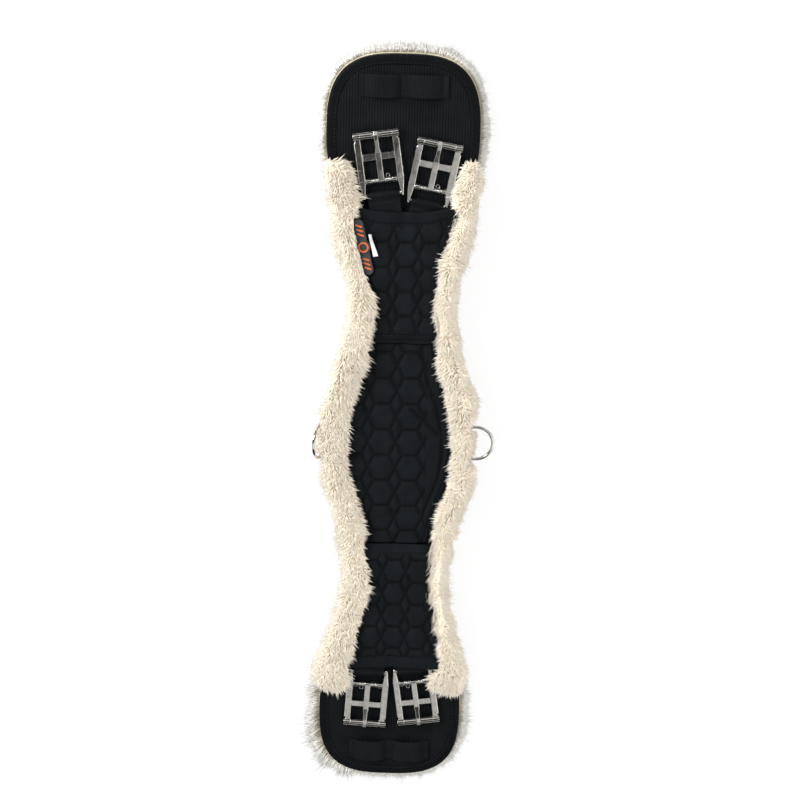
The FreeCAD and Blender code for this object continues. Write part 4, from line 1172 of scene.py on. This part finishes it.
class GIRTH_OT_plates(GirthOperator, bpy.types.Operator):
    """Make the ribbed end plates, their binding, keepers and stitching"""
    bl_idname = "girth.plates"
    bl_label = "End plates"

    def execute(self, context):
        s, w = context.scene.girth_shape, context.scene.girth_webbing
        rng = np.random.default_rng(5)
        sewn = []
        for end, sign in ENDS.items():
            low, high = corners(f"{end}_end_webbing")
            start, stop = (low[1], high[1]) if sign > 0 else (-high[1], -low[1])
            rows = np.append(np.arange(start, stop - 14 * MM, 2 * MM), stop - 14 * MM * np.cos(
                np.linspace(0, np.pi / 2, 16)) ** 1.6)
            inset = s.binding_width - 0.6 * MM
            y = rows[:, None]
            inner = np.interp(rows, *inset_edge(inset))[:, None]
            x = np.linspace(-1, 1, 2 * int(s.plate_half / w.rib_pitch * 6) + 1) * s.plate_half
            x = np.clip(x, -inner, inner)
            rib = w.rib_height * (np.abs(np.sin(np.pi * x / w.rib_pitch)) ** 0.8 - 1)
            wave = 0.3 * MM * mixed_waves(np.dstack([x, np.broadcast_to(y, x.shape)]), 45 * MM, rng)
            z = WEBBING_Z + rib + wave * 0.6
            edge = np.clip(np.minimum(inner - np.abs(x), stop - y) / (1 * MM), 0, 1)
            z = TOP_Z + 0.05 * MM + (z - TOP_Z - 0.05 * MM) * np.sqrt(edge)
            y = np.broadcast_to(sign * y, x.shape)
            made = envelope(f"{end}_plate_webbing", np.dstack([x, y, z]),
                            np.dstack([x, y, np.full_like(x, TOP_Z + 0.05 * MM)]))
            finish(made, MATERIALS["webbing"], slot="ribbed_webbing", replaces=[f"{end}_end_webbing"])
            sewn += self.binding(s, end, sign, rng)
            sewn += self.keeper(w, end)
        thread = stitches("plate_stitching", sewn, w.stitch_pitch, 0.36 * MM, rng)
        finish(thread, MATERIALS["thread"], slot="binding")
        return {"FINISHED"}

    def binding(self, s, end, sign, rng):
        """Edge tape: a soft-cornered strip over the edge, slightly puckered by its stitches."""
        low, high = corners(f"{end}_binding")
        start = float(low[1] if sign > 0 else -high[1])
        path = even(half_outline(start), 420) * sign
        out = outward(path, False)
        width, top = s.binding_width, float(high[2])
        control = np.array([
            (-width, TOP_Z + 0.3 * MM), (-width - 0.1 * MM, top - 0.5 * MM), (-width + 0.7 * MM, top),
            (-width / 2, top + 0.15 * MM), (-1.2 * MM, top + 0.1 * MM), (0.5 * MM, top - 0.6 * MM),
            (1 * MM, top - 2.2 * MM), (1 * MM, PANEL_LOW[2] + 1.2 * MM),
            (0.7 * MM, PANEL_LOW[2] + 0.15 * MM), (0.1 * MM, PANEL_LOW[2] + 0.2 * MM),
            (0.08 * MM, TOP_Z - 1.2 * MM), (-1.2 * MM, TOP_Z + 0.1 * MM)])
        section = rounded(np.repeat(control[None], len(path), 0), 3)
        pucker = 0.12 * MM * mixed_waves(path, 5 * MM, rng) + 0.22 * MM * mixed_waves(path, 22 * MM, rng)
        section[:, :, 1] += np.where(section[:, :, 1] > top - 0.9 * MM, pucker[:, None], 0)
        made = tube(f"{end}_edge_binding", swept(path, out, section))
        finish(made, MATERIALS["binding"], slot="binding", replaces=[f"{end}_binding"])
        line = path - out * (width - 1.3 * MM)
        return [np.column_stack([line, np.full(len(line), top + 0.1 * MM)])]

    def keeper(self, w, end):
        """Billet keeper: a ribbed strip sewn at its middle and ends, bowed up between them by a flat-topped
        wave, 1 - |2 share - 1|^3.2."""
        low, high = corners(f"{end}_keeper")
        half, thick = float(high[0]), 1.6 * MM
        x = np.linspace(-half, half, int(2 * half / w.rib_pitch * 6))
        share = (np.abs(x) - 3 * MM) / (half - 5 * MM - 3 * MM)
        bow = (float(high[2]) - WEBBING_Z - thick - 0.2 * MM) * (
            1 - np.clip(np.abs(2 * share - 1), 0, 1) ** 3.2)
        rib = 0.4 * MM * (np.abs(np.sin(np.pi * x / w.rib_pitch)) ** 0.8 - 1)
        turn = np.linspace(0, 2 * np.pi, 28, endpoint=False)
        reach = (high[1] - low[1]) / 2
        yy = (low[1] + high[1]) / 2 + reach * np.sign(np.cos(turn)) * np.abs(np.cos(turn)) ** 0.25
        up = thick / 2 * np.sign(np.sin(turn)) * np.abs(np.sin(turn)) ** 0.5
        dip = 0.35 * MM * np.exp(-((x / (1.6 * MM)) ** 2))
        z = WEBBING_Z + 0.1 * MM + thick / 2 + bow[:, None] + up[None] + (rib - dip)[:, None] * (up[None] > 0)
        points = np.dstack([np.broadcast_to(x[:, None], z.shape), np.broadcast_to(yy, z.shape), z])
        made = tube(f"{end}_billet_keeper", points)
        finish(made, MATERIALS["keeper"], slot="ribbed_webbing", replaces=[f"{end}_keeper"])
        ends = np.array([low[1] + 1.5 * MM, high[1] - 1.5 * MM])
        rows = [np.array([[at, y, WEBBING_Z + thick + 0.1 * MM] for y in ends])
                for at in (-half + 1.6 * MM, -0.9 * MM, 0.9 * MM, half - 1.6 * MM)]
        return rows


def inset_edge(inset):
    """Half width against distance from the middle for the outline moved inwards, for interpolation."""
    half = half_outline(0.0)
    moved = half - inset * outward(half, False)
    rear = moved[moved[:, 0] > -1e-6]
    order = np.argsort(rear[:, 1])
    return rear[order, 1], np.maximum(rear[order, 0], 0)


def strap_frame(name):
    """A band's own axes: the bar's centre, along the bar, from the girth to the roller, and up."""
    bar = JOINTS[f"{name}_fold"]
    return np.array(bar["pos_m"]), np.array(bar["axis"]), np.array(JOINTS[f"{name}_stretch"]["axis"])


def folded_band(half, line, thick, ribs, centre, across, along, corner=0.0):
    """A ribbed band along a flat line of (along, up): each point gets the band's section square to the line.
    The fold draws back at the band's edges by the corner."""
    section = band_section(half, thick, ribs, 0.22 * MM)
    step = unit(np.gradient(line, axis=0))
    normal = np.stack([-step[:, 1], step[:, 0]], 1)
    flat = line[:, None] + section[None, :, 1:] * normal[:, None]
    pull = corner * smoothstep((np.abs(section[:, 0]) - half + 5 * MM) / (5 * MM))
    flat[:, :, 0] -= pull * smoothstep((line[:, :1] + 3 * MM) / (5 * MM))
    return (centre + section[None, :, :1] * across + flat[:, :, :1] * along
            + flat[:, :, 1:] * np.array([0.0, 0.0, 1.0]))


def loop_line(r, back, gap, count):
    """Middle line of a strap folded round a bar, as (along, up): in below the bar's height by the gap, round
    an arc of radius r a little longer than half a circle, and back above it."""
    turn = np.linspace(-np.pi / 2 - 0.25, np.pi / 2 + 0.25, 17)
    bend = np.stack([r * np.cos(turn), r * np.sin(turn)], 1)
    level = np.full(len(back), gap)
    line = np.vstack([np.stack([back, -level], 1), bend, np.stack([back[::-1], level], 1)])
    return even(rounded(line[None], 3, closed=False)[0], count)


class GIRTH_OT_straps(GirthOperator, bpy.types.Operator):
    """Make the elastics, their anchors, the webbing loops and the ring tabs"""
    bl_idname = "girth.straps"
    bl_label = "Elastics and loops"

    def execute(self, context):
        rng = np.random.default_rng(8)
        sewn = []
        for name in BUCKLES:
            centre, across, along = strap_frame(name)
            body = f"{name}_strap"
            line = loop_line(2.6 * MM, np.linspace(-22, -5, 9) * MM, 0.8 * MM, 64)
            points = folded_band(14 * MM, line, 1.5 * MM, 12, centre, across, along, corner=1.4 * MM)
            made = tube(f"{name}_webbing_loop", points)
            finish(made, MATERIALS["strap"], body=body, slot="strap_webbing", replaces=[f"{name}_strap_loop"])
            up = np.array([0, 0, 1.66 * MM])
            rows = [np.array([centre + k * 11.5 * MM * across + a * MM * along + up for a in (-21, -7)])
                    for k in (-1, 1)]
            rows.append(np.array([centre + k * 11.5 * MM * across - 7 * MM * along + up for k in (-1, 1)]))
            thread = stitches(f"{name}_loop_stitching", rows, 3.0 * MM, 0.34 * MM, rng)
            finish(thread, MATERIALS["thread"], body=body, slot="strap_webbing")
            self.elastic(name, centre, across, along)
        for end in ENDS:
            low, high = corners(f"{end}_elastic_anchor")
            x, y = np.linspace(low[0], high[0], 60), np.linspace(low[1], high[1], 14)
            x, y = np.meshgrid(x, y)
            rim = np.minimum(np.minimum(x - low[0], high[0] - x), np.minimum(y - low[1], high[1] - y))
            z = low[2] + 0.05 * MM + (high[2] - low[2] - 0.1 * MM) * quarter_round(rim / MM)
            under = np.dstack([x, y, 0 * z + low[2] + 0.05 * MM])
            made = envelope(f"{end}_anchor_patch", np.dstack([x, y, z]), under)
            finish(made, MATERIALS["strap"], slot="strap_webbing", replaces=[f"{end}_elastic_anchor"])
            rows = [np.array([[low[0] + 2 * MM, a, high[2]], [high[0] - 2 * MM, a, high[2]]])
                    for a in (low[1] + 2 * MM, high[1] - 2 * MM)]
            sewn += rows
        for side, sign in SIDES.items():
            low, high = corners(f"{side}_ring_tab")
            bar = np.array([sign * RING_AT[0], RING_AT[1], RING_AT[2]])
            reach = abs(RING_AT[0]) - min(abs(low[0]), abs(high[0]))
            line = loop_line(2.3 * MM, np.linspace(-reach, -4.5 * MM, 8), 0.72 * MM, 48)
            half = float(high[1] - low[1]) / 2
            points = folded_band(half, line, 1.35 * MM, 9, bar, np.array([0, 1.0, 0]),
                                 np.array([sign, 0, 0.0]), corner=0.8 * MM)
            made = tube(f"{side}_ring_webbing_tab", points)
            finish(made, MATERIALS["strap"], slot="strap_webbing", replaces=[f"{side}_ring_tab"])
            at = bar[0] - sign * (reach - 3 * MM)
            sewn.append(np.array([[at, bar[1] + k * 8 * MM, bar[2] + 1.5 * MM] for k in (-1, 1)]))
        thread = stitches("patch_stitching", sewn, 3.0 * MM, 0.3 * MM, rng)
        finish(thread, MATERIALS["thread"], slot="strap_webbing")
        return {"FINISHED"}

    def elastic(self, name, centre, across, along):
        """Elastic band: straight lines from its sewn end to the loop's end, with a ribbed section."""
        low, high = corners(f"{name}_elastic")
        sign = 1 if name.startswith("near") else -1
        side = -1 if name.endswith("front") else 1
        half = 13.5 * MM
        far = centre - 22 * MM * along
        inner = side * 0.7 * MM
        anchor_x = inner + side * half
        anchor_y = float(low[1] if sign > 0 else high[1])
        start = np.array([anchor_x, anchor_y, centre[2]])
        section = band_section(half, 2.0 * MM, 14, 0.16 * MM)
        t = np.linspace(0, 1, 36)[:, None, None]
        first_across = np.array([np.sign(across[0]), 0.0, 0.0])
        direction = first_across + (across - first_across) * t
        points = start + (far - start) * t + section[None, :, :1] * direction
        points = points + section[None, :, 1:] * np.array([0, 0, 1.0])
        made = tube(f"{name}_elastic_band", points)
        finish(made, MATERIALS["elastic"], body=None, slot="elastic", replaces=[f"{name}_elastic"])
        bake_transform(made)


class GIRTH_OT_badge(GirthOperator, bpy.types.Operator):
    """Make the moulded badge with plain raised shapes and the blank care label"""
    bl_idname = "girth.badge"
    bl_label = "Badge and label"

    def execute(self, context):
        b = context.scene.girth_badge
        low, high = corners("rubber_badge")
        centre = (low + high) / 2
        turn = np.array([[np.cos(b.turn), np.sin(b.turn)], [-np.sin(b.turn), np.cos(b.turn)]])

        def laid(x, y, z):
            """Places on the badge, moved onto the sleeve and following its height."""
            flat = np.stack([x, y], -1) @ turn + centre[:2]
            ground = sleeve_rise("near", flat[..., 0], flat[..., 1])
            return np.concatenate([flat, (ground + z)[..., None]], -1)

        def pad(name, x, y, rim, base, rise, mat, **extras):
            """A raised shape whose edge rounds off over the rim's first unit."""
            top = laid(x, y, base + rise * quarter_round(rim))
            made = envelope(name, top, laid(x, y, np.full_like(x, base)))
            return finish(made, MATERIALS[mat], slot="badge_rubber", **extras)

        def capsule(half_long, half_wide, rows=40, columns=20):
            """A strip with half-round ends: width from the circle at each end."""
            v = half_long * np.sin(np.linspace(-np.pi / 2, np.pi / 2, rows))[:, None]
            width = half_wide * np.sqrt(np.clip(
                1 - (np.maximum(np.abs(v) - (half_long - half_wide), 0) / half_wide) ** 2, 0, 1))
            u = np.sin(np.linspace(-np.pi / 2, np.pi / 2, columns))[None]
            rim = np.broadcast_to((1 - np.abs(u)) * width, (rows, columns))
            return u * width, np.repeat(v, columns, 1), rim

        x, y, rim = capsule(b.long / 2, b.wide / 2, 90, 24)
        pad("badge_strip", x, y, rim / (0.8 * MM), 0.1 * MM, 1.5 * MM, "rubber", replaces=["rubber_badge"])
        angle, radius = np.meshgrid(np.linspace(0, 2 * np.pi, 49), np.linspace(0, 1, 12), indexing="ij")
        boss = 6.4 * MM
        x, y = boss * radius * np.cos(angle), boss * radius * np.sin(angle)
        pad("badge_boss", x, y, (1 - radius) * 7, 0.3 * MM, 1.9 * MM, "rubber")
        ring = (3.1 + 1.7 * radius) * MM
        pad("badge_ring", ring * np.cos(angle), ring * np.sin(angle), np.minimum(radius, 1 - radius) * 5,
            2.0 * MM, 0.6 * MM, "mark")
        lean = 0.5
        for k, at in enumerate((-19, -15, -11, 11, 15, 19)):
            v, u, rim = capsule(3.2 * MM, 0.9 * MM, 24, 10)
            bar_x = u * np.cos(lean) + v * np.sin(lean)
            bar_y = at * MM - u * np.sin(lean) + v * np.cos(lean)
            pad(f"badge_bar_{k}", bar_x, bar_y, rim / (0.4 * MM), 1.4 * MM, 0.6 * MM, "mark")
        x, y = np.meshgrid(np.linspace(6.6 * MM, 10.8 * MM, 12), np.linspace(-10 * MM, 10 * MM, 40))
        share = (x - 6.6 * MM) / (4.2 * MM)
        x = 6.6 * MM + share * (2.6 * MM + 1.8 * MM * smoothstep((8 * MM - y) / (18 * MM)))
        curl = 1.8 * MM * share**2
        top, bottom = laid(x, y, 1.1 * MM + curl), laid(x, y, 0.75 * MM + curl)
        loop = np.concatenate([top, bottom[:, ::-1]], 1)
        label = tube("care_label_tag", loop)
        finish(label, MATERIALS["label"], slot="label_cloth", replaces=["care_label"])
        return {"FINISHED"}


class GIRTH_OT_metal(GirthOperator, bpy.types.Operator):
    """Finish the buckles and rings"""
    bl_idname = "girth.metal"
    bl_label = "Metal finishes"

    def execute(self, context):
        for name, obj in frame["nodes"].items():
            kind = "spring" if name.endswith("tongue_spring") else "nickel"
            metal = name.endswith(("buckle_frame", "roller", "tongue", "tongue_bar", "bar_collars", "d_ring"))
            if metal or kind == "spring":
                for slot in obj.material_slots:
                    slot.material = MATERIALS[kind]
        return {"FINISHED"}


class GIRTH_OT_stage(GirthOperator, bpy.types.Operator):
    """Set up the floor, lights, surroundings and camera"""
    bl_idname = "girth.stage"
    bl_label = "Stage"

    def execute(self, context):
        s = context.scene.girth_stage
        scene = context.scene
        scene.view_settings.view_transform = "Standard"
        scene.render.film_transparent = False
        corner = np.array([[-4, -4], [4, -4], [4, 4], [-4, 4]], float)
        floor = piece("floor", np.column_stack([corner, np.full(4, -0.4 * MM)]), [np.array([[0, 1, 2, 3]])])
        mat = bpy.data.materials.new("girth floor")
        mat.use_nodes = True
        tree = mat.node_tree
        shader = tree.nodes["Principled BSDF"]
        shader.inputs["Base Color"].default_value = (0.93, 0.93, 0.93, 1)
        shader.inputs["Roughness"].default_value = 0.9
        path = tree.nodes.new("ShaderNodeLightPath")
        seen = math_node(tree, "MAXIMUM", path.outputs["Is Camera Ray"], path.outputs["Is Transmission Ray"])
        glow = node(tree, "ShaderNodeEmission", {"Color": (1, 1, 1, 1), "Strength": 1.0})
        share = math_node(tree, "MULTIPLY", seen, 0.86)
        mix = node(tree, "ShaderNodeMixShader", {0: share, 1: shader.outputs[0], 2: glow.outputs[0]})
        tree.links.new(mix.outputs[0], tree.nodes["Material Output"].inputs[0])
        floor.data.materials.append(mat)
        world = bpy.data.worlds.new("girth surroundings")
        scene.world = world
        world.use_nodes = True
        tree = world.node_tree
        path = tree.nodes.new("ShaderNodeLightPath")
        seen = math_node(tree, "MAXIMUM", path.outputs["Is Camera Ray"], path.outputs["Is Transmission Ray"])
        facing = tree.nodes.new("ShaderNodeTexCoord").outputs["Generated"]
        way = node(tree, "ShaderNodeSeparateXYZ", {0: facing})
        lean = math_node(tree, "MULTIPLY_ADD", way.outputs[1], -0.15, -0.0285)
        across = math_node(tree, "ADD", way.outputs[0], lean)
        bright = node(tree, "ShaderNodeMapRange", {
            "Value": across, "From Min": -0.008, "From Max": 0.012,
            "To Min": s.gloss * 0.45, "To Max": s.gloss * 5.0}, interpolation_type="SMOOTHSTEP")
        sides = node(tree, "ShaderNodeMapRange", {
            "Value": math_node(tree, "ABSOLUTE", across, 0.0), "From Min": 0.2, "From Max": 0.35,
            "To Min": bright.outputs[0], "To Max": s.gloss * 6.5})
        stripe = node(tree, "ShaderNodeMapRange", {
            "Value": math_node(tree, "SINE", math_node(tree, "MULTIPLY_ADD", way.outputs[1], 7.0, -2.62)),
            "From Min": -0.15, "From Max": 0.3, "To Min": s.gloss * 0.1, "To Max": s.gloss * 6.0})
        off_level = math_node(tree, "ABSOLUTE", math_node(tree, "ADD", way.outputs[1], 0.29))
        ends = node(tree, "ShaderNodeMapRange", {"Value": off_level, "From Min": 0.22, "From Max": 0.28})
        bands = node(tree, "ShaderNodeMix", {0: ends.outputs[0], 2: sides.outputs[0], 3: stripe.outputs[0]})
        plain = node(tree, "ShaderNodeMix", {
            0: path.outputs["Is Glossy Ray"], 2: s.ambient, 3: bands.outputs[0]})
        level = node(tree, "ShaderNodeMix", {0: seen, 2: plain.outputs[0], 3: 1.0})
        back = tree.nodes["Background"]
        back.inputs[0].default_value = (1, 1, 1, 1)
        tree.links.new(level.outputs[0], back.inputs[1])
        self.light("key", s.key, 0.7, (-1.15, 0.95, 1.05))
        self.light("fill", s.fill, 1.4, (0.95, -0.3, 1.3))
        camera = bpy.data.cameras.new("camera")
        camera.lens, camera.sensor_width = s.lens, 36.0
        camera.clip_start, camera.clip_end = 0.05, 20
        obj = bpy.data.objects.new("camera", camera)
        scene.collection.objects.link(obj)
        target = np.array([2.804, 32.509, 18.0]) * MM
        back_way = np.array([0, np.sin(s.tilt), np.cos(s.tilt)])
        right, up = np.array([1.0, 0, 0]), np.array([0, np.cos(s.tilt), -np.sin(s.tilt)])
        c, n = np.cos(s.roll), np.sin(s.roll)
        columns = np.stack([c * right + n * up, -n * right + c * up, back_way], 1)
        turned = np.eye(4)
        turned[:3, :3], turned[:3, 3] = columns, target + back_way * s.distance
        obj.matrix_world = Matrix(turned.tolist())
        scene.camera = obj
        return {"FINISHED"}

    def light(self, name, power, size, place):
        """A square soft light that faces the girth's middle."""
        lamp = bpy.data.lights.new(name, "AREA")
        lamp.energy, lamp.size = power, size
        obj = bpy.data.objects.new(name, lamp)
        bpy.context.scene.collection.objects.link(obj)
        back = unit(np.array(place, float))
        right = unit(np.cross([0, 1, 0], back))
        turned = np.eye(4)
        turned[:3, :3], turned[:3, 3] = np.stack([right, np.cross(back, right), back], 1), place
        obj.matrix_world = Matrix(turned.tolist())


class GIRTH_PT_panel(bpy.types.Panel):
    """The girth's steps and sizes"""
    bl_idname = "GIRTH_PT_panel"
    bl_label = "Saddle girth"
    bl_space_type = "VIEW_3D"
    bl_region_type = "UI"
    bl_category = "Girth"

    def draw(self, context):
        for step in STEPS:
            self.layout.operator(step.bl_idname)
        for name, group in GROUPS.items():
            box = self.layout.box()
            box.label(text=group.__doc__)
            for key in group.__annotations__:
                box.prop(getattr(context.scene, name), key)


STEPS = (GIRTH_OT_stage, GIRTH_OT_metal, GIRTH_OT_body, GIRTH_OT_belly, GIRTH_OT_sleeves, GIRTH_OT_plates,
         GIRTH_OT_straps, GIRTH_OT_badge, GIRTH_OT_liner, GIRTH_OT_wings)
CLASSES = (*GROUPS.values(), *STEPS, GIRTH_PT_panel)


def register():
    """Add the property groups, operators and panel."""
    for cls in CLASSES:
        bpy.utils.register_class(cls)
    for name, group in GROUPS.items():
        setattr(bpy.types.Scene, name, PointerProperty(type=group))


def unregister():
    """Take them away again."""
    for name in GROUPS:
        delattr(bpy.types.Scene, name)
    for cls in reversed(CLASSES):
        bpy.utils.unregister_class(cls)


def main():
    """Build everything in order."""
    register()
    MATERIALS.update(build_materials())
    for step in STEPS:
        group, name = step.bl_idname.split(".")
        getattr(getattr(bpy.ops, group), name)()


if __name__ == "__main__":
    main()
